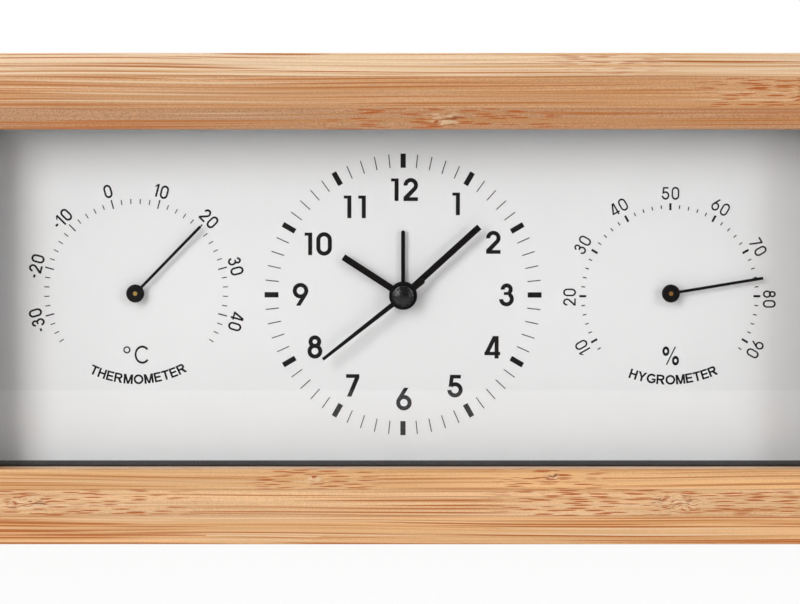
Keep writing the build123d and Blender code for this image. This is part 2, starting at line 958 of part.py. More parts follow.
# Fifth wheel between the rotor and the second wheel
fifth_wheel = wheel_and_pinion(
    fifth_axis,
    6,
    (fifth_teeth, rotor_module, meshed(fifth_angle + 180, fifth_teeth, pinion_teeth)),
    (pinion_teeth, second_module, 0),
)
with fifth_wheel:
    round_bars(arbor_radius, [fifth_axis], front_pivot_y, back_pivot_y)
fifth_wheel.part.label = "fifth_wheel"
export_step(fifth_wheel.part, "parts/fifth_wheel.step")

# Second wheel, whose arbor carries the second hand
second_hand_y = dial_y - second_hand_standoff
second_wheel = wheel_and_pinion(
    hands_axis,
    5,
    (second_teeth, second_module, meshed(fifth_angle + 180, second_teeth, pinion_teeth)),
    (pinion_teeth, third_module, 0),
)
with second_wheel:
    round_bars(arbor_radius, [hands_axis], second_hand_y - hand_thickness, back_pivot_y)
second_wheel.part.label = "second_wheel"
export_step(second_wheel.part, "parts/second_wheel.step")

third_wheel = wheel_and_pinion(
    third_axis,
    4,
    (third_teeth, third_module, meshed(third_angle, third_teeth, pinion_teeth)),
    (pinion_teeth, minute_module, 0),
)
with third_wheel:
    round_bars(arbor_radius, [third_axis], front_pivot_y, back_pivot_y)
third_wheel.part.label = "third_wheel"
export_step(third_wheel.part, "parts/third_wheel.step")

# Minute wheel with the cannon pinion and the tube that carries the minute hand
minute_hand_y = dial_y - minute_hand_standoff
minute_wheel = wheel_and_pinion(
    hands_axis,
    3,
    (minute_teeth, minute_module, meshed(third_angle + 180, minute_teeth, pinion_teeth)),
    (cannon_teeth, cannon_module, 0),
)
with minute_wheel:
    round_bars(minute_tube_radius, [hands_axis], minute_hand_y - hand_thickness, layer_y(3))
    round_bars(
        minute_tube_bore,
        [hands_axis],
        minute_hand_y - hand_thickness,
        layer_y(3) + wheel_thickness,
        Mode.SUBTRACT,
    )
minute_wheel.part.label = "minute_wheel"
export_step(minute_wheel.part, "parts/minute_wheel.step")

# Motion wheel, which takes the minute wheel's turn to the hour wheel; its shaft ends in a knob
knob_y = housing_back_y + knob_lift
knob_end_y = back_y - knob_inset
shaft_end_y = knob_y + knob_bore_depth - push_gap
motion_wheel = wheel_and_pinion(
    motion_axis,
    2,
    (motion_teeth, cannon_module, meshed(motion_angle, motion_teeth, cannon_teeth)),
    (motion_pinion_teeth, hour_module, 0),
)
with motion_wheel:
    round_bars(set_shaft_radius, [motion_axis], front_pivot_y, shaft_end_y)
motion_wheel.part.label = "motion_wheel"
export_step(motion_wheel.part, "parts/motion_wheel.step")


def tube_wheel(layer, wheel, bore, radius, end_y):
    """A wheel round the hands' axis with a tube forward to the depth end_y."""
    with BuildPart() as tubed:
        toothed_disc(*wheel, hands_axis, layer_y(layer), layer_y(layer) + wheel_thickness)
        round_bars(radius, [hands_axis], end_y, layer_y(layer))
        round_bars(
            bore, [hands_axis], end_y, layer_y(layer) + wheel_thickness, Mode.SUBTRACT
        )
    return tubed


hour_hand_y = dial_y - hour_hand_standoff
hour_wheel = tube_wheel(
    1,
    (hour_teeth, hour_module, meshed(motion_angle + 180, hour_teeth, motion_pinion_teeth)),
    hour_tube_bore,
    hour_tube_radius,
    hour_hand_y - hand_thickness,
)
hour_wheel.part.label = "hour_wheel"
export_step(hour_wheel.part, "parts/hour_wheel.step")

alarm_hand_y = dial_y - alarm_hand_standoff
alarm_wheel = tube_wheel(
    0,
    (alarm_teeth, alarm_module, meshed(alarm_set_angle + 180, alarm_teeth, alarm_pinion_teeth)),
    alarm_tube_bore,
    alarm_tube_radius,
    alarm_hand_y - hand_thickness,
)
alarm_wheel.part.label = "alarm_wheel"
export_step(alarm_wheel.part, "parts/alarm_wheel.step")

with BuildPart() as alarm_set_pinion:
    toothed_disc(
        alarm_pinion_teeth,
        alarm_module,
        0,
        alarm_set_axis,
        layer_y(0),
        layer_y(0) + wheel_thickness,
    )
    round_bars(set_shaft_radius, [alarm_set_axis], front_pivot_y, shaft_end_y)
alarm_set_pinion.part.label = "alarm_set_pinion"
export_step(alarm_set_pinion.part, "parts/alarm_set_pinion.step")

# Spring leaf behind the hour wheel that closes the alarm circuit
leaf_y = layer_y(1) + wheel_thickness + alarm_leaf_gap
leaf_end = alarm_leaf_post + alarm_leaf_post_radius
with BuildPart() as alarm_contact:
    blocks(
        leaf_end - alarm_leaf_reach,
        alarm_leaf_width,
        [(-(leaf_end + alarm_leaf_reach) / 2, 0)],
        leaf_y,
        leaf_y + alarm_leaf_thickness,
    )
alarm_contact.part.label = "alarm_contact"
export_step(alarm_contact.part, "parts/alarm_contact.step")

with BuildPart() as buzzer:
    wall_y = housing_back_y - housing_wall
    round_bars(buzzer_radius, [buzzer_place], wall_y - buzzer_depth, wall_y)
    fillet(buzzer.faces().sort_by(Axis.Y)[0].edges(), buzzer_depth / 3)
    round_bars(
        2 * sound_hole_radius, [buzzer_place], wall_y - buzzer_depth / 2, wall_y, Mode.SUBTRACT
    )
buzzer.part.label = "buzzer"
export_step(buzzer.part, "parts/buzzer.step")

# Slide switch of the alarm, at its left stop
thumb_end_y = cover_back_y + switch_rise
with BuildPart() as alarm_switch:
    flange_y = housing_back_y - housing_wall - slide_gap - switch_flange_thickness
    blocks(
        switch_flange,
        switch_flange_height,
        [switch_place],
        flange_y,
        flange_y + switch_flange_thickness,
    )
    blocks(switch_stem, switch_stem_height, [switch_place], flange_y, thumb_end_y)
    blocks(
        switch_thumb,
        switch_thumb_height,
        [switch_place],
        housing_back_y + slide_gap,
        thumb_end_y,
    )
    thumb_edges = alarm_switch.faces().sort_by(Axis.Y)[-1].edges()
    fillet(thumb_edges, switch_rise / 4)
alarm_switch.part.label = "alarm_switch"
export_step(alarm_switch.part, "parts/alarm_switch.step")


def setting_knob(axis):
    """A fluted knob with a dished end, bored for its shaft."""
    with BuildPart() as knob:
        round_bars(knob_radius, [axis], knob_y, knob_end_y)
        end_face = knob.faces().sort_by(Axis.Y)[-1]
        chamfer(end_face.edges(), knob_flute_radius)
        flutes = ring_places(axis, knob_radius, knob_flute_count)
        round_bars(knob_flute_radius, flutes, cover_y, knob_end_y, Mode.SUBTRACT)
        round_bars(
            knob_radius - knob_rim, [axis], knob_end_y - knob_dish, knob_end_y, Mode.SUBTRACT
        )
        round_bars(
            set_shaft_radius + push_gap,
            [axis],
            knob_y,
            knob_y + knob_bore_depth,
            Mode.SUBTRACT,
        )
    return knob


time_set_knob = setting_knob(motion_axis)
time_set_knob.part.label = "time_set_knob"
export_step(time_set_knob.part, "parts/time_set_knob.step")

alarm_set_knob = setting_knob(alarm_set_axis)
alarm_set_knob.part.label = "alarm_set_knob"
export_step(alarm_set_knob.part, "parts/alarm_set_knob.step")

# Cell and its contacts in the bay
with BuildPart() as battery:
    cell_end = -battery_length / 2 - battery_nub_length / 2
    for start, length, radius in (
        (cell_end, battery_length, battery_radius),
        (cell_end + battery_length, battery_nub_length, battery_nub_radius),
    ):
        across = Plane(origin=(start, battery_y, dial_z + bay_middle), z_dir=(1, 0, 0))
        with BuildSketch(across):
            Circle(radius)
        extrude(amount=length)
battery.part.label = "battery"
export_step(battery.part, "parts/battery.step")

contact_places = {"negative_contact": -1, "positive_contact": 1}
for contact_name, side in contact_places.items():
    with BuildPart() as contact:
        blocks(
            contact_thickness,
            contact_size,
            [(side * (bay_half_width - contact_thickness / 2), bay_middle)],
            battery_y - contact_size / 2,
            battery_y + contact_size / 2,
        )
    contact.part.label = contact_name
    export_step(contact.part, f"parts/{contact_name}.step")


def bar_hand(hand_y, turn, length, width, bore, hub_radius, round_end=False):
    """A straight hand on a round hub, with a short collar behind for its tube."""
    collar_y = hand_y + hand_collar_length
    with BuildPart() as hand:
        with BuildSketch(facing(hand_y, turn=turn)):
            Circle(hub_radius)
            with Locations((0, length / 2)):
                Rectangle(width, length)
            if round_end:
                with Locations((0, length)):
                    Circle(width / 2)
        extrude(amount=hand_thickness)
        round_bars(bore + hand_collar_wall, [hands_axis], hand_y, collar_y)
        round_bars(bore, [hands_axis], hand_y - hand_thickness, collar_y, Mode.SUBTRACT)
    return hand


alarm_hand = bar_hand(
    alarm_hand_y,
    alarm_hand_turn,
    alarm_hand_length,
    alarm_hand_width,
    alarm_tube_radius + push_gap,
    hand_hub_radius,
    round_end=True,
)
alarm_hand.part.label = "alarm_hand"
export_step(alarm_hand.part, "parts/alarm_hand.step")

hour_hand = bar_hand(
    hour_hand_y,
    hour_hand_turn,
    hour_hand_length,
    hour_hand_width,
    hour_tube_radius + push_gap,
    hand_hub_radius,
)
hour_hand.part.label = "hour_hand"
export_step(hour_hand.part, "parts/hour_hand.step")

minute_hand = bar_hand(
    minute_hand_y,
    minute_hand_turn,
    minute_hand_length,
    minute_hand_width,
    minute_tube_radius + push_gap,
    minute_hub_radius,
)
minute_hand.part.label = "minute_hand"
export_step(minute_hand.part, "parts/minute_hand.step")

# Second hand: a tapering needle with a round-ended tail, under a domed cap
with BuildPart() as second_hand:
    with BuildSketch(facing(second_hand_y, turn=second_hand_turn)):
        Circle(second_hub_radius)
        Polygon(
            (-second_hand_width / 2, 0),
            (second_hand_width / 2, 0),
            (second_hand_tip_width / 2, second_hand_length),
            (-second_hand_tip_width / 2, second_hand_length),
            align=None,
        )
        tail_end = second_hand_tail - second_hand_tail_width / 2
        with Locations((0, -tail_end / 2)):
            Rectangle(second_hand_tail_width, tail_end)
        with Locations((0, -tail_end)):
            Circle(second_hand_tail_width / 2)
        Circle(arbor_radius + push_gap, mode=Mode.SUBTRACT)
    extrude(amount=hand_thickness)
second_hand.part.label = "second_hand"
export_step(second_hand.part, "parts/second_hand.step")

cap_y = second_hand_y - hand_thickness
cap_rim_y = cap_y - cap_rim_height
cap_ball_radius = (cap_radius**2 + cap_dome_height**2) / (2 * cap_dome_height)
with BuildPart() as second_cap:
    round_bars(cap_radius, [hands_axis], cap_rim_y - cap_dome_height, cap_y)
    with Locations((0, cap_rim_y - cap_dome_height + cap_ball_radius, dial_z)):
        Sphere(cap_ball_radius, mode=Mode.INTERSECT)
    with BuildSketch(facing(cap_rim_y + cap_groove_depth)) as groove:
        Circle(cap_radius - cap_groove_inset)
        Circle(cap_radius - cap_groove_inset - cap_groove_width, mode=Mode.SUBTRACT)
    extrude(groove.sketch, amount=cap_dome_height, mode=Mode.SUBTRACT)
second_cap.part.label = "second_cap"
export_step(second_cap.part, "parts/second_cap.step")


def gauge_bracket(gauge):
    """A hat-shaped bracket over the coil of a gauge, screwed to the carrier by its two feet."""
    foot_y = housing_y + gauge_boss_height
    bar_y = housing_y + bracket_rise
    inner = bracket_half_span - bracket_metal
    right_side = [
        (bracket_half_span + bracket_foot, foot_y),
        (bracket_half_span + bracket_foot, foot_y + bracket_metal),
        (bracket_half_span, foot_y + bracket_metal),
        (bracket_half_span, bar_y),
    ]
    right_inside = [(inner, bar_y - bracket_metal), (inner, foot_y)]
    outline = (
        right_side
        + [(-x, y) for x, y in reversed(right_side)]
        + [(-x, y) for x, y in reversed(right_inside)]
        + right_inside
    )
    with BuildPart() as bracket:
        with BuildSketch(Plane.XY.offset(dial_z + gauge[1])):
            Polygon(*[(gauge[0] + x, y) for x, y in outline], align=None)
        extrude(amount=bracket_half_height, both=True)
        round_bars(gauge_shaft_radius + running_gap, [gauge], foot_y, bar_y, Mode.SUBTRACT)
        round_bars(
            gauge_screw_radius + running_gap,
            [(gauge[0] + side * foot_x, gauge[1]) for side in (-1, 1)],
            foot_y,
            foot_y + bracket_metal,
            Mode.SUBTRACT,
        )
    return bracket


def spiral_strip(gauge, strip, turns, pitch):
    """A flat spiral strip of half turns, from an eye round the shaft to the bracket's leg."""
    coil_y = housing_y + coil_standoff
    growth = pitch / 2
    half_turns = [
        (growth * (n % 2), coil_eye_radius + growth * n, 180 * (n % 2)) for n in range(2 * turns)
    ]
    # Both edges of the strip are arcs round the same two middles
    with BuildPart() as coil:
        with BuildSketch(facing(coil_y, gauge)):
            with BuildLine():
                for middle, radius, start in half_turns:
                    CenterArc((middle, 0), radius + strip / 2, start, 180)
                    CenterArc((middle, 0), radius - strip / 2, start, 180)
                inner_end = coil_eye_radius
                outer_end = coil_eye_radius + pitch * turns
                for end in (inner_end, outer_end):
                    Line((end - strip / 2, 0), (end + strip / 2, 0))
            make_face()
            Circle(coil_eye_radius)
            with Locations(((outer_end + bracket_half_span - bracket_metal) / 2, 0)):
                Rectangle(bracket_half_span - bracket_metal - outer_end, strip)
            Circle(gauge_shaft_radius + running_gap, mode=Mode.SUBTRACT)
        extrude(amount=-coil_strip_width)
    return coil


pointer_back_y = dial_y - pointer_standoff
pointer_front_y = pointer_back_y - pointer_hub_height


def gauge_shaft(gauge):
    """The shaft of a gauge, from the face of its pointer to the back of its bracket."""
    with BuildPart() as shaft:
        round_bars(gauge_shaft_radius, [gauge], pointer_front_y, housing_y + bracket_rise)
    return shaft


def gauge_pointer(gauge, turn):
    """A thin needle on a round hub."""
    with BuildPart() as pointer:
        round_bars(pointer_hub_radius, [gauge], pointer_front_y, pointer_back_y)
        fillet(pointer.faces().sort_by(Axis.Y)[0].edges(), pointer_hub_round)
        with BuildSketch(facing(pointer_back_y, gauge, turn)):
            with Locations((0, pointer_length / 2)):
                Rectangle(pointer_width, pointer_length)
        extrude(amount=pointer_thickness)
        round_bars(
            gauge_shaft_radius + push_gap, [gauge], pointer_front_y, pointer_back_y, Mode.SUBTRACT
        )
    return pointer


# Thermometer, with its bimetal coil
thermometer_place, hygrometer_place = gauge_places
thermometer_bracket = gauge_bracket(thermometer_place)
thermometer_bracket.part.label = "thermometer_bracket"
export_step(thermometer_bracket.part, "parts/thermometer_bracket.step")

thermometer_coil = spiral_strip(
    thermometer_place, thermometer_strip, thermometer_coil_turns, thermometer_coil_pitch
)
thermometer_coil.part.label = "thermometer_coil"
export_step(thermometer_coil.part, "parts/thermometer_coil.step")

thermometer_shaft = gauge_shaft(thermometer_place)
thermometer_shaft.part.label = "thermometer_shaft"
export_step(thermometer_shaft.part, "parts/thermometer_shaft.step")

thermometer_pointer = gauge_pointer(thermometer_place, thermometer_turn)
thermometer_pointer.part.label = "thermometer_pointer"
export_step(thermometer_pointer.part, "parts/thermometer_pointer.step")

# Hygrometer, with its coil of layered paper and metal
hygrometer_bracket = gauge_bracket(hygrometer_place)
hygrometer_bracket.part.label = "hygrometer_bracket"
export_step(hygrometer_bracket.part, "parts/hygrometer_bracket.step")

hygrometer_coil = spiral_strip(
    hygrometer_place, hygrometer_strip, hygrometer_coil_turns, hygrometer_coil_pitch
)
hygrometer_coil.part.label = "hygrometer_coil"
export_step(hygrometer_coil.part, "parts/hygrometer_coil.step")

hygrometer_shaft = gauge_shaft(hygrometer_place)
hygrometer_shaft.part.label = "hygrometer_shaft"
export_step(hygrometer_shaft.part, "parts/hygrometer_shaft.step")

hygrometer_pointer = gauge_pointer(hygrometer_place, hygrometer_turn)
hygrometer_pointer.part.label = "hygrometer_pointer"
export_step(hygrometer_pointer.part, "parts/hygrometer_pointer.step")

gauge_screws = screw_group(
    bracket_screw_places,
    housing_y + gauge_boss_height + bracket_metal,
    gauge_screw_radius,
    gauge_screw_length,
    gauge_head_radius,
    gauge_head_height,
)
gauge_screws.part.label = "gauge_screws"
export_step(gauge_screws.part, "parts/gauge_screws.step")

# Rear cover, which clamps the whole stack against the lip by its posts
door_width = 2 * (bay_half_width + door_margin)
door_height = bay_height + 2 * door_margin
door_y = cover_back_y - door_thickness
vent_reach = (vent_count - 1) * vent_spacing / 2
vent_places = [
    (gauge[0] - vent_reach + n * vent_spacing, 0) for gauge in gauge_places for n in range(vent_count)
]
clamp_places = [
    (side * across, level * up)
    for across, up in (
        (seat_width / 2 - clamp_inset, seat_height / 2 - clamp_inset),
        (clamp_post_spread, seat_height / 2 - clamp_post_drop),
    )
    for side in (-1, 1)
    for level in (-1, 1)
]
with BuildPart() as rear_cover:
    with BuildSketch(facing(cover_y)):
        RectangleRounded(cover_width - 2 * seat_gap, cover_height - 2 * seat_gap, cover_corner)
    extrude(amount=-cover_thickness)
    round_bars(clamp_post_radius, clamp_places, housing_y, cover_y)
    blocks(vent_width, vent_height, vent_places, cover_y, cover_back_y, Mode.SUBTRACT)
    round_bars(knob_radius + knob_gap, set_arbor_places, cover_y, cover_back_y, Mode.SUBTRACT)
    blocks(
        switch_thumb + switch_travel + 2 * slide_gap,
        switch_thumb_height + 2 * slide_gap,
        [switch_middle],
        cover_y,
        cover_back_y,
        Mode.SUBTRACT,
    )
    round_bars(sound_hole_radius, sound_hole_places, cover_y, cover_back_y, Mode.SUBTRACT)
    blocks(
        2 * bay_half_width, bay_height, [(0, bay_middle)], cover_y, cover_back_y, Mode.SUBTRACT
    )
    with BuildSketch(facing(door_y, (0, bay_middle))) as pocket:
        RectangleRounded(
            door_width + 2 * door_gap, door_height + 2 * door_gap, door_corner + door_gap
        )
    extrude(pocket.sketch, amount=-door_thickness, mode=Mode.SUBTRACT)
    round_bars(
        cover_screw_radius + running_gap, cover_screw_places, cover_y, cover_back_y, Mode.SUBTRACT
    )
rear_cover.part.label = "rear_cover"
export_step(rear_cover.part, "parts/rear_cover.step")

cover_screws = screw_group(
    cover_screw_places,
    cover_back_y,
    cover_screw_radius,
    cover_screw_length,
    cover_head_radius,
    cover_head_height,
)
cover_screws.part.label = "cover_screws"
export_step(cover_screws.part, "parts/cover_screws.step")

# Battery door, flush in its pocket, with ribs that hold the cell
door_grip_places = [
    (0, bay_middle + door_height / 2 - door_grip_drop - n * door_grip_spacing)
    for n in range(door_grip_count)
]
with BuildPart() as battery_door:
    with BuildSketch(facing(door_y, (0, bay_middle))):
        RectangleRounded(door_width, door_height, door_corner)
    extrude(amount=-door_thickness)
    blocks(
        door_grip_width,
        door_grip_height,
        door_grip_places,
        cover_back_y - door_grip_depth,
        cover_back_y,
        Mode.SUBTRACT,
    )
    blocks(
        door_rib_thickness,
        bay_height - 2 * door_gap,
        [(side * door_rib_spread, bay_middle) for side in (-1, 1)],
        battery_y + battery_radius + slide_gap,
        door_y,
    )
battery_door.part.label = "battery_door"
export_step(battery_door.part, "parts/battery_door.step")
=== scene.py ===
import math

import bmesh
import bpy
from bpy.props import FloatProperty, FloatVectorProperty, PointerProperty
from bpy.types import Operator, Panel, PropertyGroup
from mathutils import Matrix, Vector


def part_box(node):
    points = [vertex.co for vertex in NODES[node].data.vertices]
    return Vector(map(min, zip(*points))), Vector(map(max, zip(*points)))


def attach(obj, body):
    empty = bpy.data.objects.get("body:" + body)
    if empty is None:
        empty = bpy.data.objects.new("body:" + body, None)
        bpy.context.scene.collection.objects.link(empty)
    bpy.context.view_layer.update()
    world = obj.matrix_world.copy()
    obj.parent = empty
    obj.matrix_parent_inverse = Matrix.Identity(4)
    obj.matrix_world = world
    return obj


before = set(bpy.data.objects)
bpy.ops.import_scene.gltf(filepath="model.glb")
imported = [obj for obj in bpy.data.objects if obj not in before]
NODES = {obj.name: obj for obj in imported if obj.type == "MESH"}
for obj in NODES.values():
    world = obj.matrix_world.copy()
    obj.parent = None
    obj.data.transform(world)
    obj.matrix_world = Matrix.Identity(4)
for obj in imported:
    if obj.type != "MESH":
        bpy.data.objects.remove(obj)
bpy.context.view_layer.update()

bl_info = {
    "name": "Thermometer Hygrometer Clock",
    "version": (1, 0, 0),
    "blender": (4, 5, 0),
    "location": "View3D > Sidebar > Clock",
    "description": "Prints the dial and finishes the surfaces of a bamboo desk clock",
    "category": "Object",
}

MM = 0.001
SHEET_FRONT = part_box("dial_sheet")[0].y / MM
CLOCK_HEIGHT = sum(corner.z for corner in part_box("dial_sheet")) / MM / 2
GAUGE_REACH = sum(corner.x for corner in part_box("hygrometer_shaft")) / MM / 2

# Middles of the numerals on the dial, right and up from the shaft of the hands, and the gap between
# two figures, in mm.
NUMERALS = {
    "12": (0.33, 24.06, 1.12), "1": (12.09, 20.83, 0), "2": (20.59, 12.02, 0),
    "3": (23.63, 0.04, 0), "4": (20.41, -11.97, 0), "5": (11.89, -20.88, 0),
    "6": (0.19, -23.85, 0), "7": (-11.53, -20.73, 0), "8": (-20.17, -11.90, 0),
    "9": (-23.43, 0.14, 0), "10": (-19.35, 11.70, 0.94), "11": (-11.00, 20.16, 1.57),
}
# Both gauges turn three degrees for each degree or part in a hundred. These marks stand on top.
MARK_TURN = 3
THERMOMETER_TOP, HYGROMETER_TOP = 5, 50
THERMOMETER_LABEL_TURN = 3.03  # its labels are turned a little further than its ticks
# Length and width of a gauge's ticks at the tens, then of the others, in mm.
THERMOMETER_TICKS = (2.05, 0.3), (1.15, 0.22)
HYGROMETER_TICKS = (1.6, 0.5), (0.85, 0.25)
# Labels that the printer set a little off the ring, right and up in mm.
THERMOMETER_NUDGES = {0: (-0.14, 0), 10: (-0.22, 0), 40: (0.24, -0.3)}
HYGROMETER_NUDGES = {
    20: (0, -0.2), 30: (-0.14, 0), 40: (-0.34, 0), 70: (0.28, -0.52), 80: (-0.16, -0.66),
    90: (-0.23, -0.35),
}
STROKE_STEP = 0.002  # mm from the plane of one stroke of print to the next

# Knots of the bamboo: place and reach in mm, and the number of the layer that holds it.
BOARD_KNOTS = [
    ((9.2, -22.5, 95.4), (32, 24, 15), 3), ((90, -22.5, 101), (30, 24, 17), 4),
    ((-19.8, -22.5, 14.6), (17, 20, 10), 2), ((33.3, -22.5, 15.4), (15, 20, 9), 2),
    ((61.5, -22.5, 9.5), (50, 26, 17), 1), ((-84, -22.5, 9.5), (45, 24, 15), 1),
    ((-52, 8, 110), (34, 24, 12), 5), ((47, -8, 110), (30, 20, 12), 5),
    ((-30, 22.5, 100), (34, 24, 15), 4), ((64, 22.5, 95), (34, 24, 15), 3),
    ((22, 22.5, 9), (40, 24, 15), 1),
]
UPRIGHT_KNOTS = [
    ((-95, -22.5, 62), (15, 24, 34), 0), ((101, -22.5, 38), (15, 24, 34), 1),
    ((-110, 4, 30), (12, 22, 34), 2), ((110, -6, 74), (12, 22, 34), 2),
    ((110, 15, 24), (12, 20, 28), 2), ((-110, -13, 84), (12, 20, 28), 2),
]
LAYER_STEP = 7.4  # mm that the strips of each layer stand aside from those below
FIBRE_RELIEF = 0.05  # mm from the tops of the fibres to their grooves
GLUE_SHARE = 0.45  # how much of the glue's own colour its line shows
STRIP_OFFSET = 0.9  # metres over which the strips pick their own stretch of the pattern


def linear(code):
    """Turns an sRGB hex colour into the linear colour that the shaders take."""
    parts = [int(code[i:i + 2], 16) / 255 for i in (1, 3, 5)]
    curved = [p / 12.92 if p <= 0.04045 else ((p + 0.055) / 1.055) ** 2.4 for p in parts]
    return tuple(curved) + (1.0,)


def colour(code, name, description):
    return FloatVectorProperty(
        name=name, description=description, subtype="COLOR", size=4, min=0, max=1,
        default=linear(code),
    )


def size(millimetres, name, description):
    return FloatProperty(
        name=name, description=description, subtype="DISTANCE", unit="LENGTH",
        default=millimetres * MM,
    )


def power(watts, name):
    return FloatProperty(name=name, description="Power in watts", subtype="POWER", default=watts)


def feed(tree, made, feeds):
    """Fills a node's inputs with plain values, or with links from other nodes' outputs."""
    for name, value in feeds.items():
        if isinstance(value, bpy.types.NodeSocket):
            tree.links.new(value, made.inputs[name])
        else:
            made.inputs[name].default_value = value


def node(tree, kind, feeds, output=0, **settings):
    """Adds one shader node, its kind named without ShaderNode, with its settings and inputs, and
    gives one of its outputs."""
    made = tree.nodes.new("ShaderNode" + kind)
    for name, value in settings.items():
        setattr(made, name, value)
    feed(tree, made, feeds)
    return made.outputs[output]


def new_material(name):
    material = bpy.data.materials.new(name)
    material.use_nodes = True
    tree = material.node_tree
    return material, tree, tree.nodes["Principled BSDF"], node(tree, "TexCoord", {}, "Object")


def paint(names, material):
    """Gives CAD nodes one material in all their slots."""
    for name in names:
        for slot in NODES[name].material_slots:
            slot.material = material


def laminated_bamboo(name, lengthwise, layers, knots, finish):
    """Bamboo strips glued in three layers, planed and lacquered. The eye sees straight fibres along
    the board, soft honey bands, thin tapering brown bundles up to 0.5 mm thick and some pale ones,
    fine stipple from cut pores, short dashes near a knot, thin glue lines and a satin sheen."""
    material, tree, shader, place = new_material(name)
    along = node(tree, "SeparateXYZ", {0: place})
    deep, layered = (along.node.outputs[axis] for axis in "YZ")
    if lengthwise == "Z":
        upright = layered
        layered = node(tree, "Math", {0: along}, operation="ABSOLUTE")
        along = upright
    grain = node(tree, "CombineXYZ", {0: along, 1: deep, 2: layered})

    # Each layer has its tone, how much its pores and its lines show, its number, and a line of glue
    # at its start.
    _, tint, pores, vigour = layers[0]
    number = seam = 0.0
    for start, tone, its_pores, its_vigour in layers[1:]:
        past = node(tree, "Math", {0: layered, 1: start * MM}, operation="GREATER_THAN")
        tint = node(tree, "Mix", {0: past, 6: tint, 7: tone}, 2, data_type="RGBA")
        pores = node(tree, "Mix", {0: past, 2: pores, 3: its_pores}, data_type="FLOAT")
        vigour = node(tree, "Mix", {0: past, 2: vigour, 3: its_vigour}, data_type="FLOAT")
        number = node(tree, "Math", {0: number, 1: past}, operation="ADD")
        line = node(
            tree, "Math", {0: layered, 1: start * MM, 2: finish.glue_width / 2}, operation="COMPARE"
        )
        seam = node(tree, "Math", {0: seam, 1: line}, operation="MAXIMUM")

    # Strips lie side by side across each layer, and each has its own tone and pattern.
    shifted = node(tree, "Math", {0: number, 1: LAYER_STEP * MM, 2: deep}, operation="MULTIPLY_ADD")
    strips = node(tree, "Math", {0: shifted, 1: finish.strip_width}, operation="DIVIDE")
    strip = node(tree, "Math", {0: strips}, operation="FLOOR")
    side = node(tree, "Math", {0: strips, 1: 0.5}, operation="PINGPONG")
    joint = node(
        tree, "Math", {0: side, 1: finish.glue_width / finish.strip_width / 2},
        operation="LESS_THAN",
    )
    seam = node(tree, "Math", {0: seam, 1: joint}, operation="MAXIMUM")
    mark = node(tree, "CombineXYZ", {0: strip, 1: number})
    chance = node(tree, "TexWhiteNoise", {"Vector": mark}, "Value", noise_dimensions="2D")
    own = node(
        tree, "VectorMath",
        {0: chance.node.outputs["Color"], "Scale": STRIP_OFFSET}, operation="SCALE",
    )
    grain = node(tree, "VectorMath", {0: grain, 1: own}, operation="ADD")

    # Knots: each is a soft ball, kept to one layer.
    near = 0.0
    for spot, reach, its_layer in knots:
        moved = node(
            tree, "Mapping",
            {"Vector": place, "Location": [s * MM for s in spot], "Scale": [r * MM for r in reach]},
            vector_type="TEXTURE",
        )
        ball = node(tree, "TexGradient", {0: moved}, "Fac", gradient_type="SPHERICAL")
        same = node(tree, "Math", {0: number, 1: its_layer, 2: 0.5}, operation="COMPARE")
        kept = node(tree, "Math", {0: ball, 1: same}, operation="MULTIPLY")
        near = node(tree, "Math", {0: near, 1: kept}, operation="MAXIMUM")
    curl, around = (
        node(
            tree, "MapRange", {"Value": near, "From Min": low, "From Max": high},
            interpolation_type="SMOOTHSTEP",
        ) for low, high in ((0.84, 0.94), (0.02, 0.40))
    )
    away = node(tree, "Math", {0: around, 1: -0.85, 2: 1.0}, operation="MULTIPLY_ADD")

    # Fibres wander a little everywhere, and wave at a knot.
    for reach, sway, share in (
        ((130, 60, 12), (0.0, 0.0015, 0.0035), 1.0),
        ((3.2, 3.0, 1.3), (0.003, 0.002, 0.0024), curl),
    ):
        spread = node(
            tree, "VectorMath", {0: grain, 1: [1 / (r * MM) for r in reach]}, operation="MULTIPLY"
        )
        noise = node(tree, "TexNoise", {"Vector": spread, "Scale": 1.0, "Detail": 1.0}, "Color")
        noise = node(tree, "VectorMath", {0: noise, 1: (0.5, 0.5, 0.5)}, operation="SUBTRACT")
        noise = node(tree, "VectorMath", {0: noise, 1: sway}, operation="MULTIPLY")
        noise = node(tree, "VectorMath", {0: noise, "Scale": share}, operation="SCALE")
        grain = node(tree, "VectorMath", {0: grain, 1: noise}, operation="ADD")

    # What the fibres draw, with its length, depth and height in mm.
    drawn = {}
    for key, kind, output, detail, reach in (
        ("drift", "TexNoise", "Fac", 2.0, (80, 12, 3.2)),
        ("band", "TexNoise", "Fac", 2.0, (110, 1.0, 0.50)),
        ("stipple", "TexNoise", "Fac", 2.0, (0.42, 0.26, 0.20)),
        ("bundle", "TexVoronoi", "Distance", 0.0, (95, 0.60, 0.54)),
        ("hair", "TexVoronoi", "Distance", 0.0, (150, 0.42, 0.37)),
        ("dash", "TexVoronoi", "Distance", 0.0, (6.0, 0.46, 0.38)),
        ("wave", "TexNoise", "Fac", 1.0, (4.0, 1.0, 0.36)),
    ):
        spread = node(
            tree, "VectorMath", {0: grain, 1: [1 / (r * MM) for r in reach]}, operation="MULTIPLY"
        )
        drawn[key] = node(tree, kind, {"Vector": spread, "Scale": 1.0, "Detail": detail}, output)
    for key in ("bundle", "hair", "dash"):
        drawn["luck of " + key] = node(tree, "SeparateXYZ", {0: drawn[key].node.outputs["Color"]})

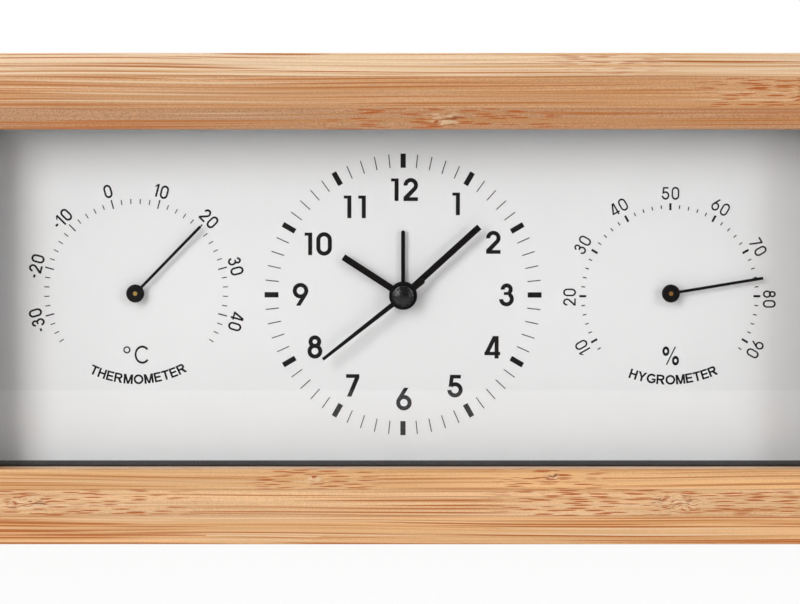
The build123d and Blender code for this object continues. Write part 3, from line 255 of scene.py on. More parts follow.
    # Each of those is turned into a share: from a low value to a high one, and what they give.
    share = {}
    for key, value, low, high, first, last in (
        ("drift", drawn["drift"], 0.30, 0.70, 0.93, 1.06),
        ("shade", drawn["band"], 0.34, 0.66, 1.09, 0.90),
        ("honey", drawn["band"], 0.48, 0.64, 0.0, 0.5),
        ("stipple", drawn["stipple"], 0.34, 0.66, 0.72, 1.20),
        ("strip", chance, 0.0, 1.0, 0.97, 1.03),
        ("bundle", drawn["bundle"], 0.22, 0.46, 1.0, 0.0),
        ("hair", drawn["hair"], 0.18, 0.46, 1.0, 0.0),
        ("dash", drawn["dash"], 0.26, 0.50, 1.0, 0.0),
        ("dark", drawn["luck of bundle"], 0.14, 0.50, 0.0, 1.0),
        ("pale", drawn["luck of bundle"], 0.08, 0.20, 0.8, 0.0),
        ("fine", drawn["luck of hair"], 0.16, 0.50, 0.0, 0.9),
        ("light", drawn["luck of hair"], 0.10, 0.25, 0.8, 0.0),
        ("short", drawn["luck of dash"], 0.0, 0.26, 0.4, 1.0),
        ("pit", drawn["wave"], 0.36, 0.43, 0.9, 0.0),
        ("gleam", drawn["wave"], 0.52, 0.60, 0.0, 0.5),
        ("gloss", drawn["stipple"], 0.3, 0.7, 0.50, 0.42),
    ):
        share[key] = node(
            tree, "MapRange",
            {"Value": value, "From Min": low, "From Max": high, "To Min": first, "To Max": last},
            interpolation_type="SMOOTHSTEP",
        )
    for key, where in (
        ("dark", share["bundle"]), ("pale", share["bundle"]), ("fine", share["hair"]),
        ("light", share["hair"]), ("short", share["dash"]), ("short", around), ("pit", curl),
        ("gleam", curl), ("dark", vigour), ("pale", vigour), ("fine", vigour), ("light", vigour),
        ("honey", vigour), ("dark", away), ("fine", away),
    ):
        share[key] = node(tree, "Math", {0: share[key], 1: where}, operation="MULTIPLY")
    share["seam"] = node(tree, "Math", {0: seam, 1: GLUE_SHARE}, operation="MULTIPLY")
    for key, how_much in (("drift", 1.0), ("shade", 1.0), ("stipple", pores), ("strip", 1.0)):
        tint = node(
            tree, "Mix", {0: how_much, 6: tint, 7: share[key]}, 2, data_type="RGBA",
            blend_type="MULTIPLY",
        )
    for key, over in (
        ("honey", finish.honey), ("light", finish.sinew), ("fine", finish.bundle),
        ("pale", finish.sinew), ("dark", finish.bundle), ("gleam", finish.sinew),
        ("short", finish.dash), ("pit", finish.pore), ("seam", finish.glue),
    ):
        tint = node(tree, "Mix", {0: share[key], 6: tint, 7: over}, 2, data_type="RGBA")

    raised = node(
        tree, "Math", {0: share["dark"], 1: -0.5, 2: drawn["stipple"]}, operation="MULTIPLY_ADD"
    )
    raised = node(tree, "Math", {0: seam, 1: -0.9, 2: raised}, operation="MULTIPLY_ADD")
    bump = node(tree, "Bump", {"Strength": 0.35, "Distance": FIBRE_RELIEF * MM, "Height": raised})
    feed(tree, shader, {
        "Base Color": tint, "Roughness": share["gloss"], "Normal": bump,
        "Coat Weight": 0.45, "Coat Roughness": 0.25,
    })
    return material


def grained(
    name, tint, roughness, grain_mm, depth_mm, metallic=0.0, variation=0.06, smear=(1, 1, 1),
    coat=0.0, specular=0.5,
):
    """One stuff with its own fine grain, which raises the surface, makes its gloss uneven and
    shades its colour a little. smear stretches the grain for drawn or rolled stock."""
    material, tree, shader, place = new_material(name)
    spread = node(
        tree, "VectorMath", {0: place, 1: [1 / (grain_mm * MM * s) for s in smear]},
        operation="MULTIPLY",
    )
    grain = node(
        tree, "TexNoise", {"Vector": spread, "Scale": 1.0, "Detail": 3.0, "Roughness": 0.6}, "Fac"
    )
    cloud = node(tree, "TexNoise", {"Vector": spread, "Scale": 0.07, "Detail": 2.0}, "Fac")
    shade = node(tree, "MapRange", {
        "Value": cloud, "From Min": 0.3, "From Max": 0.7,
        "To Min": 1 - variation, "To Max": 1 + variation,
    })
    gloss = node(tree, "MapRange", {
        "Value": grain, "From Min": 0.3, "From Max": 0.7,
        "To Min": max(roughness - 0.05, 0.03), "To Max": roughness + 0.06,
    })
    feed(tree, shader, {
        "Base Color": node(
            tree, "Mix", {0: 1.0, 6: tint, 7: shade}, 2, data_type="RGBA", blend_type="MULTIPLY"
        ),
        "Roughness": gloss,
        "Normal": node(tree, "Bump", {"Strength": 0.5, "Distance": depth_mm * MM, "Height": grain}),
        "Metallic": metallic, "Coat Weight": coat, "Coat Roughness": 0.1,
        "Specular IOR Level": specular,
    })
    return material


def window_glass(name):
    """A thin pane of float glass: clear, with a mirror reflection of a few parts in a hundred that
    grows towards grazing angles, and the faintest ripple in its polish."""
    material, tree, shader, place = new_material(name)
    tree.nodes.remove(shader)
    ripple = node(tree, "TexNoise", {"Vector": place, "Scale": 12.0, "Detail": 1.0}, "Fac")
    polish = node(
        tree, "MapRange", {"Value": ripple, "From Min": 0.3, "From Max": 0.7, "To Max": 0.02}
    )
    both = node(tree, "MixShader", {
        0: node(tree, "Fresnel", {"IOR": 1.33}),
        1: node(tree, "BsdfTransparent", {"Color": (1, 1, 1, 1)}),
        2: node(tree, "BsdfGlossy", {"Color": (1, 1, 1, 1), "Roughness": polish}),
    })
    tree.links.new(both, tree.nodes["Material Output"].inputs["Surface"])
    return material


def wound_wire(name, tint, pitch_mm):
    """Enamelled copper wire wound turn by turn: a clear orange-brown lacquer over bright metal,
    with the turns as fine ribs and painted shade darkening the grooves between them, drawn somewhat
    coarser than real wire so that they show."""
    material, tree, shader, place = new_material(name)
    turns = node(
        tree, "TexWave",
        {
            "Vector": place, "Scale": math.tau / 20 / (pitch_mm * MM), "Distortion": 0.6,
            "Detail": 1.0,
        },
        "Fac", bands_direction="X",
    )
    # Painted shade: the colour darkens towards the grooves between the turns.
    shade = node(tree, "MapRange", {"Value": turns, "To Min": 0.55, "To Max": 1.05})
    feed(tree, shader, {
        "Base Color": node(
            tree, "Mix", {0: 1.0, 6: tint, 7: shade}, 2, data_type="RGBA", blend_type="MULTIPLY"
        ),
        "Normal": node(
            tree, "Bump", {"Strength": 0.8, "Distance": pitch_mm * MM / 2, "Height": turns}
        ),
        "Metallic": 0.9, "Roughness": 0.3, "Coat Weight": 0.6,
    })
    return material


def sink(bm):
    """Lets the strokes drawn so far down by a hair, so that no two strokes lie in one plane."""
    bmesh.ops.translate(bm, vec=(0, STROKE_STEP, 0), verts=bm.verts)


def draw_bar(bm, corners):
    """A straight stroke of print, by its corners to the right and up."""
    sink(bm)
    bm.faces.new([bm.verts.new((x, 0, z)) for x, z in corners])


def draw_block(bm, left, foot, right, top):
    """A straight stroke of print that is level or upright."""
    draw_bar(bm, [(left, foot), (right, foot), (right, top), (left, top)])


def draw_arc(bm, middle, radius, stroke, start, sweep):
    """A round stroke: a short edge across it is spun about the middle. Angles run anticlockwise
    from the right, in degrees."""
    sink(bm)
    turn = math.radians(start)
    across = [
        bm.verts.new((middle[0] + r * math.cos(turn), 0, middle[1] + r * math.sin(turn)))
        for r in (radius - stroke / 2, radius + stroke / 2)
    ]
    edge = bm.edges.new(across)
    bmesh.ops.spin(
        bm, geom=across + [edge], cent=(middle[0], 0, middle[1]),
        axis=(0, -math.copysign(1, sweep), 0), angle=math.radians(abs(sweep)),
        steps=max(6, round(abs(sweep) / 7)), use_merge=abs(sweep) == 360, use_duplicate=False,
    )


def draw_figure(bm, figure, s, slanted=False):
    """Draws one upright figure or capital, one unit high, with a stroke of s and its left edge at
    zero, and gives its width. slanted gives the 1 a sloping flag."""
    h = s / 2
    if figure == "0":
        for x in (0, 0.69 - s):
            draw_block(bm, x, 0.325, x + s, 0.675)
        draw_arc(bm, (0.345, 0.675), 0.345 - h, s, 0, 180)
        draw_arc(bm, (0.345, 0.325), 0.345 - h, s, 180, 180)
        return 0.69
    if figure == "1":
        draw_block(bm, 0.335 - s, 0, 0.335, 1)
        drop = 0.2 if slanted else 0
        draw_bar(bm, [
            (0, 1 - s * 0.75 - drop), (0.335 - s, 1 - s * 0.75 - drop / 4), (0.335 - s, 1),
            (0, 1 - drop),
        ])
        return 0.335
    if figure == "2":
        draw_arc(bm, (0.32, 0.70), 0.32 - h, s, 184, -228)
        draw_bar(bm, [
            (0.0, s), (0.0, s * 0.9), (s * 1.42, s * 0.9), (0.32 + 0.32 * 0.72, 0.70 - 0.32 * 0.69),
            (0.32 + (0.32 - s) * 0.72, 0.70 - (0.32 - s) * 0.69),
        ])
        draw_block(bm, 0, 0, 0.64, s * 0.92)
        return 0.64
    if figure == "3":
        draw_arc(bm, (0.335, 0.745), 0.267 - h, s, 184, -244)
        draw_arc(bm, (0.325, 0.318), 0.328 - h, s, 62, -240)
        draw_block(bm, 0.21, 0.495, 0.50, 0.625)
        return 0.653
    if figure == "4":
        draw_block(bm, 0.45, 0, 0.45 + s, 1)
        draw_block(bm, 0, 0.145, 0.70, 0.145 + s * 0.85)
        draw_bar(bm, [
            (0, 0.235), (s * 1.13, 0.235), (0.455, 0.235 + (0.455 - s * 1.13) * 2.04),
            (0.455, 1), (0.375, 1),
        ])
        return 0.70
    if figure == "5":
        draw_block(bm, 0.122, 1 - s * 0.9, 0.60, 1)
        draw_bar(bm, [(0.055, 0.45), (0.15, 0.48), (0.06 + s, 0.58), (0.122 + s, 1), (0.122, 1)])
        draw_arc(bm, (0.341, 0.331), 0.341 - h, s, 141, -319)
        return 0.682
    if figure in "69":
        draw_arc(bm, (0.345, 0.333), 0.345 - h, s, 0, 360)
        draw_bar(bm, [(0.045, 0.51), (0.045 + s * 0.9, 0.44), (0.35 + s * 1.1, 1), (0.35, 1)])
        if figure == "9":
            turned = Matrix.Translation((0.345, 0, 0.5)) @ Matrix.Rotation(math.pi, 4, "Y")
            back = Matrix.Translation((-0.345, 0, -0.5))
            bmesh.ops.transform(bm, matrix=turned @ back, verts=bm.verts)
        return 0.69
    if figure == "7":
        top = 1 - s * 0.92
        draw_block(bm, 0, top, 0.59, 1)
        draw_bar(bm, [(0.04, 0), (0.04 + s * 1.1, 0), (0.59, top), (0.59 - s * 1.15, top)])
        return 0.59
    if figure == "8":
        draw_arc(bm, (0.33, 0.735), 0.282 - h, s, 0, 360)
        draw_arc(bm, (0.33, 0.312), 0.33 - h, s, 0, 360)
        return 0.66
    if figure == "-":
        draw_block(bm, 0, 0.46 - h, 0.26, 0.46 + h)
        return 0.26
    if figure == "T":
        draw_block(bm, 0, 1 - s * 0.9, 0.79, 1)
        draw_block(bm, 0.395 - h, 0, 0.395 + h, 1)
        return 0.79
    if figure == "H":
        for x in (0, 0.80 - s):
            draw_block(bm, x, 0, x + s, 1)
        draw_block(bm, 0, 0.43, 0.80, 0.43 + s * 0.9)
        return 0.80
    if figure == "E":
        draw_block(bm, 0, 0, s, 1)
        for foot, reach in ((0, 0.74), (0.42, 0.68), (1 - s * 0.9, 0.72)):
            draw_block(bm, 0, foot, reach, foot + s * 0.9)
        return 0.74
    if figure == "R":
        draw_block(bm, 0, 0, s, 1)
        for foot in (0.40, 1 - s * 0.9):
            draw_block(bm, 0, foot, 0.55, foot + s * 0.9)
        draw_arc(bm, (0.52, 0.70), 0.30 - h, s, 90, -180)
        draw_bar(bm, [(0.36, 0.44), (0.86 - s * 1.2, 0), (0.88, 0), (0.62, 0.44)])
        return 0.88
    if figure == "M":
        for x in (0, 0.96 - s):
            draw_block(bm, x, 0, x + s, 1)
        draw_bar(bm, [(0, 1), (0.48 - s * 0.45, 0), (0.48 + s * 0.45, 0), (s * 1.2, 1)])
        draw_bar(bm, [(0.96 - s * 1.2, 1), (0.48 - s * 0.45, 0), (0.48 + s * 0.45, 0), (0.96, 1)])
        return 0.96
    if figure == "Y":
        draw_block(bm, 0.455 - h, 0, 0.455 + h, 0.46)
        draw_bar(bm, [(0, 1), (0.455 - h, 0.42), (0.455 + h, 0.42), (s * 1.15, 1)])
        draw_bar(bm, [(0.91 - s * 1.15, 1), (0.455 - h, 0.42), (0.455 + h, 0.42), (0.91, 1)])
        return 0.91
    if figure in "OCG":
        if figure == "O":
            draw_arc(bm, (0.5, 0.5), 0.51 - h, s, 0, 360)
            return 1.0
        draw_arc(bm, (0.5, 0.5), 0.51 - h, s, 40, 282)
        if figure == "G":
            draw_block(bm, 0.95 - s, 0.14, 0.95, 0.52)
            draw_block(bm, 0.54, 0.52 - s * 0.85, 0.95, 0.52)
        return 0.95
    raise ValueError(figure)


def pour(source, target, where):
    """Moves what one bmesh holds by a matrix and adds it to another."""
    mesh = bpy.data.meshes.new("drawn")
    bmesh.ops.transform(source, matrix=where, verts=source.verts)
    source.to_mesh(mesh)
    source.free()
    target.from_mesh(mesh)
    bpy.data.meshes.remove(mesh)


def draw_figures(figures, height_mm, stroke_mm, width_share, slanted=False):
    """Draws figures apart from each other, in mm, and gives each with its width."""
    drawn = []
    for figure in figures:
        bm = bmesh.new()
        width = draw_figure(bm, figure, stroke_mm / height_mm, slanted) * height_mm * width_share
        bmesh.ops.scale(bm, vec=(height_mm * width_share, 1, height_mm), verts=bm.verts)
        drawn.append((bm, width))
    return drawn


def set_number(target, number, height_mm, stroke_mm, gap_mm, where, width_share=1.0, slanted=False):
    """Sets a number's figures side by side, their middle on the place that the matrix gives."""
    drawn = draw_figures(number, height_mm, stroke_mm, width_share, slanted)
    left = -(sum(width for _, width in drawn) + gap_mm * (len(drawn) - 1)) / 2
    for bm, width in drawn:
        pour(bm, target, where @ Matrix.Translation((left, 0, -height_mm / 2)))
        left += width + gap_mm


def set_word(target, word, height_mm, stroke_mm, middle, radius, first, last):
    """Sets a word along the foot of a circle, tops inward, with even gaps, between two angles from
    straight down, in degrees."""
    drawn = draw_figures(word, height_mm, stroke_mm, 1.0)
    run, end = radius * math.radians(first), radius * math.radians(last)
    gap = (end - run - sum(width for _, width in drawn)) / (len(word) - 1)
    for bm, width in drawn:
        turn = Matrix.Rotation(-(run + width / 2) / radius, 4, "Y")
        foot = Matrix.Translation((-width / 2, 0, -radius - height_mm / 2))
        pour(bm, target, middle @ turn @ foot)
        run += width + gap


def on_dial(across_mm, up_mm=0.0, turn=0.0):
    """The matrix of a place on the dial, in mm from the shaft of the hands, turned clockwise."""
    return Matrix.Translation((across_mm, 0, up_mm)) @ Matrix.Rotation(math.radians(turn), 4, "Y")


def tick(target, middle, turn, radius, length_mm, width_mm):
    """One tick of a scale, clockwise from the top by turn, with its middle on the radius."""
    bm = bmesh.new()
    draw_block(bm, -width_mm / 2, radius - length_mm / 2, width_mm / 2, radius + length_mm / 2)
    pour(bm, target, middle @ on_dial(0, 0, turn))


def finish_print(bm, name, ink):
    """Gives flat print its thickness, sets it on the dial sheet and lets it ride with the clock."""
    thick = bpy.context.scene.dial_print.ink_thickness / MM
    bm.normal_update()
    bmesh.ops.reverse_faces(bm, faces=[face for face in bm.faces if face.normal.y > 0])
    grown = bmesh.ops.extrude_face_region(bm, geom=bm.faces[:], use_keep_orig=True)
    moved = [v for v in grown["geom"] if isinstance(v, bmesh.types.BMVert)]
    bmesh.ops.translate(bm, verts=moved, vec=(0, -thick, 0))
    bmesh.ops.recalc_face_normals(bm, faces=bm.faces)
    settle = Matrix.Scale(MM, 4) @ Matrix.Translation((0, SHEET_FRONT + thick / 4, CLOCK_HEIGHT))
    bmesh.ops.transform(bm, matrix=settle, verts=bm.verts)
    mesh = bpy.data.meshes.new(name)
    bm.to_mesh(mesh)
    bm.free()
    piece = bpy.data.objects.new(name, mesh)
    bpy.context.scene.collection.objects.link(piece)
    mesh.materials.append(ink)
    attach(piece, "clock")


def screen_ink():
    """Black screen ink on card: dense and slightly raised, with a faint mottle from the mesh."""
    if "black_screen_ink" in bpy.data.materials:
        return bpy.data.materials["black_screen_ink"]
    tint = bpy.context.scene.dial_print.ink
    return grained("black_screen_ink", tint, 0.45, 0.18, 0.001, variation=0.15, specular=0.2)


class BambooFinish(PropertyGroup):
    """The bamboo of the frame."""

    strip_width: size(20, "Strip width", "Width of the strips that lie side by side in a layer")
    glue_width: size(0.22, "Glue line", "Width of the line where two strips meet")
    top_upper: colour("#e6c6a2", "Top board, upper layer", "Tone of the layer that faces up")
    top_middle: colour("#c59468", "Top board, middle layer", "Tone of the middle layer")
    top_lower: colour("#b5855e", "Top board, lower layer", "Tone of the layer over the dial")
    base_upper: colour("#d9a973", "Bottom board, upper layer", "Tone of the layer under the dial")
    base_middle: colour("#dcb182", "Bottom board, middle layer", "Tone of the middle layer")
    base_lower: colour("#dbac79", "Bottom board, lower layer", "Tone of the layer on the table")
    honey: colour("#cc8839", "Honey bands", "Soft warm bands along the fibres")
    bundle: colour("#ac5c00", "Bundles", "Long darker bundles of fibre")
    sinew: colour("#e2c6a2", "Pale fibres", "Long paler fibres between the bundles")
    dash: colour("#aa5200", "Dashes", "Short dark dashes near a knot")
    pore: colour("#7d3f14", "Pores", "Dark specks of a knot")
    glue: colour("#9c6a40", "Glue", "Tone of the line where two strips meet")


class DialPrint(PropertyGroup):
    """What is printed on the dial sheet."""

    ink: colour("#131110", "Ink", "Colour of the printing ink")
    ink_thickness: size(0.02, "Ink thickness", "How far the print stands on the sheet")
    track_radius: size(30.29, "Minute track", "Radius of the middle of the minute ticks")
    hour_tick: size(3.2, "Hour tick", "Length of the five-minute ticks")
    hour_tick_width: size(1.2, "Hour tick width", "Width of the five-minute ticks")
    minute_tick: size(3.05, "Minute tick", "Length of the minute ticks")
    minute_tick_width: size(0.22, "Minute tick width", "Width of the minute ticks")
    numeral_height: size(5.15, "Numeral height", "Height of the hour numerals")
    numeral_stroke: size(0.93, "Numeral stroke", "Stroke of the hour numerals")
    gauge_radius: size(20.3, "Gauge track", "Radius of the middle of the gauges' ticks")
    label_radius: size(23.5, "Label radius", "Radius of the middle of the gauges' labels")
    word_height: size(2.2, "Word height", "Height of the words under the gauges")
    word_stroke: size(0.45, "Word stroke", "Stroke of the words under the gauges")


class Studio(PropertyGroup):
    """Camera, lamps and floor."""

    camera_back: size(688.09, "Camera distance", "Camera in front of the middle of the clock")
    camera_height: size(104.05, "Camera height", "Camera above the floor")
    camera_tilt: FloatProperty(
        name="Camera tilt", description="Camera's tilt down", subtype="ANGLE",
        default=math.radians(4.249),
    )
    lens: FloatProperty(name="Lens", description="Focal length in mm", default=134.62)
    side_shift: FloatProperty(
        name="Side shift", description="Camera's shift, in widths of the picture",
        default=-3.07 / 800,
    )
    floor_front: size(345, "Floor's front edge", "Edge of the lit floor in front of the clock")
    floor_glow: FloatProperty(
        name="Floor glow", description="Share of plain white in the floor", subtype="FACTOR",
        default=0.92,
    )
    left_lamp: power(9.8, "Left lamp")
    right_lamp: power(6.2, "Right lamp")
    top_lamp: power(4.0, "Top lamp")
    back_lamp: power(5.0, "Back lamp")
    room: FloatProperty(name="Room light", description="Strength of the even light", default=0.22)


class CLOCK_OT_bamboo_frame(Operator):
    """Finish the boards of the frame in laminated bamboo"""

    bl_idname = "clock.bamboo_frame"
    bl_label = "Bamboo frame"

    def execute(self, context):
        finish = context.scene.bamboo_finish
        # Heights at which the layers start, in mm: three in the bottom board, then three in the
        # top. Then come the tone of each, how much its pores show and how much its lines do.
        boards = laminated_bamboo("laminated_bamboo_long", "X", [
            (0, finish.base_lower, 0.2, 1.15), (6.46, finish.base_middle, 0.4, 1.0),
            (12.48, finish.base_upper, 0.3, 0.7), (55, finish.top_lower, 0.8, 0.8),
            (97.78, finish.top_middle, 0.5, 0.75), (104.83, finish.top_upper, 0.2, 1.1),
        ], BOARD_KNOTS, finish)
        # Across the upright boards the layers start at these distances from the middle.
        sides = laminated_bamboo("laminated_bamboo_upright", "Z", [
            (0, finish.base_middle, 0.6, 0.8), (98.4, finish.top_middle, 0.6, 0.6),
            (104.3, finish.base_upper, 0.5, 0.8),
        ], UPRIGHT_KNOTS, finish)
        paint(["bottom_board", "top_board"], boards)
        paint(["left_board", "right_board", "corner_slips"], sides)
        return {"FINISHED"}


class CLOCK_OT_pane(Operator):
    """Finish the front pane in clear glass"""

    bl_idname = "clock.pane"
    bl_label = "Front pane"

    def execute(self, context):
        paint(["front_glass"], window_glass("float_glass"))
        return {"FINISHED"}


class CLOCK_OT_dial_board(Operator):
    """Finish the dial sheet, the carrier behind it and the spacer frame in front"""

    bl_idname = "clock.dial_board"
    bl_label = "Dial board"

    def execute(self, context):
        # Coated white card: an even, slightly warm white with a faint tooth.
        card = grained("coated_white_card", linear("#f7f7f7"), 0.55, 0.5, 0.004, variation=0.006)
        # Moulded white polystyrene, a little translucent to the eye and softly shining.
        carrier = grained("moulded_polystyrene", linear("#dfdedb"), 0.42, 0.4, 0.01, variation=0.02)
        # Black ABS from a spark-eroded mould: dark grey where light rakes its fine pimples.
        spacer = grained(
            "black_abs_spacer", linear("#141315"), 0.75, 0.22, 0.02, variation=0.12, specular=0.2
        )
        paint(["dial_sheet"], card)
        paint(["dial_carrier"], carrier)
        paint(["spacer_frame"], spacer)
        return {"FINISHED"}


class CLOCK_OT_minute_track(Operator):
    """Print the ring of hour and minute ticks"""

    bl_idname = "clock.minute_track"
    bl_label = "Minute track"

    def execute(self, context):
        sizes = context.scene.dial_print
        bm = bmesh.new()
        # The printed ring is a hair higher than it is wide.
        middle = on_dial(0, 0.05, 0.04) @ Matrix.Diagonal((0.992, 1, 1.011, 1))
        for minute in range(60):
            hour = minute % 5 == 0
            tick(
                bm, middle, minute * 6, sizes.track_radius / MM,
                (sizes.hour_tick if hour else sizes.minute_tick) / MM,
                (sizes.hour_tick_width if hour else sizes.minute_tick_width) / MM,
            )
        finish_print(bm, "minute_track_print", screen_ink())
        return {"FINISHED"}


class CLOCK_OT_numerals(Operator):
    """Print the twelve hour numerals"""

    bl_idname = "clock.numerals"
    bl_label = "Hour numerals"

    def execute(self, context):
        sizes = context.scene.dial_print
        bm = bmesh.new()
        for number, (across, up, gap) in NUMERALS.items():
            set_number(
                bm, number, sizes.numeral_height / MM, sizes.numeral_stroke / MM, gap,
                on_dial(across, up, 0.13),
            )
        finish_print(bm, "hour_numerals_print", screen_ink())
        return {"FINISHED"}


class CLOCK_OT_thermometer_scale(Operator):
    """Print the thermometer's ticks, labels, unit and word"""

    bl_idname = "clock.thermometer_scale"
    bl_label = "Thermometer scale"

    def execute(self, context):
        sizes = context.scene.dial_print
        bm = bmesh.new()
        # Both gauges' rings are printed a hair off their shafts, and are a hair out of round.
        middle = on_dial(-GAUGE_REACH + 0.03, 0.79) @ Matrix.Diagonal((1.006, 1, 1.015, 1))
        for degrees in range(-36, 47, 2):
            tick(
                bm, middle, (degrees - THERMOMETER_TOP) * MARK_TURN, sizes.gauge_radius / MM,
                *THERMOMETER_TICKS[degrees % 10 > 0],
            )
        for degrees in range(-30, 41, 10):
            where = middle @ on_dial(*THERMOMETER_NUDGES.get(degrees, (0, 0)))
            where = where @ on_dial(0, 0, (degrees - THERMOMETER_TOP) * THERMOMETER_LABEL_TURN)
            where = where @ Matrix.Translation((0, 0, sizes.label_radius / MM - 0.15))
            set_number(bm, str(degrees), 2.95, 0.47, 0.5, where, 0.9, slanted=True)
        finish_print(bm, "thermometer_scale_print", screen_ink())

        words = bmesh.new()
        set_word(
            words, "THERMOMETER", sizes.word_height / MM, sizes.word_stroke / MM,
            on_dial(-GAUGE_REACH, 3.97), radius=23.3, first=-26.6, last=28.5,
        )
        set_number(words, "C", 4.1, 0.5, 0, on_dial(-59.73, -13.67), width_share=0.84)
        draw_arc(words, (-63.17, -12.57), radius=0.66, stroke=0.32, start=0, sweep=360)
        finish_print(words, "thermometer_words_print", screen_ink())
        return {"FINISHED"}


class CLOCK_OT_hygrometer_scale(Operator):
    """Print the hygrometer's ticks, labels, unit and word"""

    bl_idname = "clock.hygrometer_scale"
    bl_label = "Hygrometer scale"

    def execute(self, context):
        sizes = context.scene.dial_print
        bm = bmesh.new()
        middle = on_dial(GAUGE_REACH - 0.07, -0.26)
        ring = middle @ Matrix.Diagonal((0.988, 1, 1.016, 1))
        for share in range(8, 93, 2):
            tick(
                bm, ring, (share - HYGROMETER_TOP) * MARK_TURN, sizes.gauge_radius / MM - 0.17,
                *HYGROMETER_TICKS[share % 10 > 0],
            )
        # The labels stand on an oval, a little narrower than it is high.
        reach = sizes.label_radius / MM
        for share in range(10, 91, 10):
            degrees = (share - HYGROMETER_TOP) * MARK_TURN
            turn = math.radians(degrees)
            where = middle @ on_dial(*HYGROMETER_NUDGES.get(share, (0, 0)))
            where = where @ on_dial((reach - 0.6) * math.sin(turn), reach * math.cos(turn), degrees)
            set_number(bm, str(share), 2.85, 0.40, 0.5, where, 0.9, slanted=True)
        finish_print(bm, "hygrometer_scale_print", screen_ink())

        words = bmesh.new()
        set_word(
            words, "HYGROMETER", sizes.word_height / MM, sizes.word_stroke / MM,
            on_dial(GAUGE_REACH - 0.14, 6.75), radius=26.2, first=-20.0, last=24.5,
        )
        # The sign for parts in a hundred: two upright rings and a thin slash.
        for across, up in ((60.12, -12.87), (62.33, -15.04)):
            ring = bmesh.new()
            draw_arc(ring, (0, 0), radius=0.56, stroke=0.5, start=0, sweep=360)
            pour(ring, words, on_dial(across, up) @ Matrix.Diagonal((1, 1, 1.36, 1)))
        draw_bar(words, [(60.10, -16.01), (60.42, -16.01), (62.45, -11.83), (62.13, -11.83)])
        finish_print(words, "hygrometer_words_print", screen_ink())
        return {"FINISHED"}


class CLOCK_OT_hands(Operator):
    """Finish the four hands and the cap on their middle"""

    bl_idname = "clock.hands"
    bl_label = "Hands"

    def execute(self, context):
        # Stamped aluminium under black stove enamel: smooth, satin, with rounded film at its edges.
        enamel = grained(
            "black_stove_enamel", linear("#0c0807"), 0.34, 0.3, 0.003, variation=0.1, specular=0.2
        )
        # Moulded cap in the same black, satin, a shade lighter where it turns to the light.
        cap = grained("black_satin_cap", linear("#0f0f11"), 0.28, 0.4, 0.002, variation=0.08)
        paint(["alarm_hand", "hour_hand", "minute_hand", "second_hand"], enamel)
        paint(["second_cap"], cap)
        return {"FINISHED"}


class CLOCK_OT_gauges(Operator):
    """Finish the pointers, shafts, coils and brackets of the two gauges"""

    bl_idname = "clock.gauges"
    bl_label = "Gauges"

    def execute(self, context):
        # The pointers share the hands' enamel on thin steel.
        enamel = grained(
            "black_pointer_enamel", linear("#0d0908"), 0.4, 0.25, 0.003, variation=0.1, specular=0.2
        )
        # Free-cutting brass turned on an automatic lathe: bright yellow with fine rings, and on the
        # other gauge a little tarnished.
        bright = grained(
            "turned_brass", linear("#e6bd68"), 0.3, 0.12, 0.003, 1.0, smear=(1, 0.3, 1)
        )
        tarnished = grained(
            "tarnished_brass", linear("#c48f55"), 0.36, 0.12, 0.003, 1.0, smear=(1, 0.3, 1)
        )
        # Thermostatic strip of two rolled metals: steel grey with a warm cast and rolling lines.
        pair = grained("bimetal_strip", linear("#b3a78f"), 0.3, 0.2, 0.004, 1.0, smear=(1, 6, 1))
        # Treated paper and film rolled to a spiral that curls with damp: brown, dull and fibrous.
        film = grained(
            "humidity_strip", linear("#9a7a4f"), 0.65, 0.15, 0.01, variation=0.12, smear=(1, 4, 1)
        )
        # Pressed steel sheet with a dull zinc coat.
        sheet = grained("zinc_plated_sheet", linear("#b9bcbd"), 0.36, 0.6, 0.004, 1.0)
        paint(["thermometer_pointer", "hygrometer_pointer"], enamel)
        paint(["thermometer_shaft"], bright)
        paint(["hygrometer_shaft"], tarnished)
        paint(["thermometer_coil"], pair)
        paint(["hygrometer_coil"], film)
        paint(["thermometer_bracket", "hygrometer_bracket"], sheet)
        return {"FINISHED"}


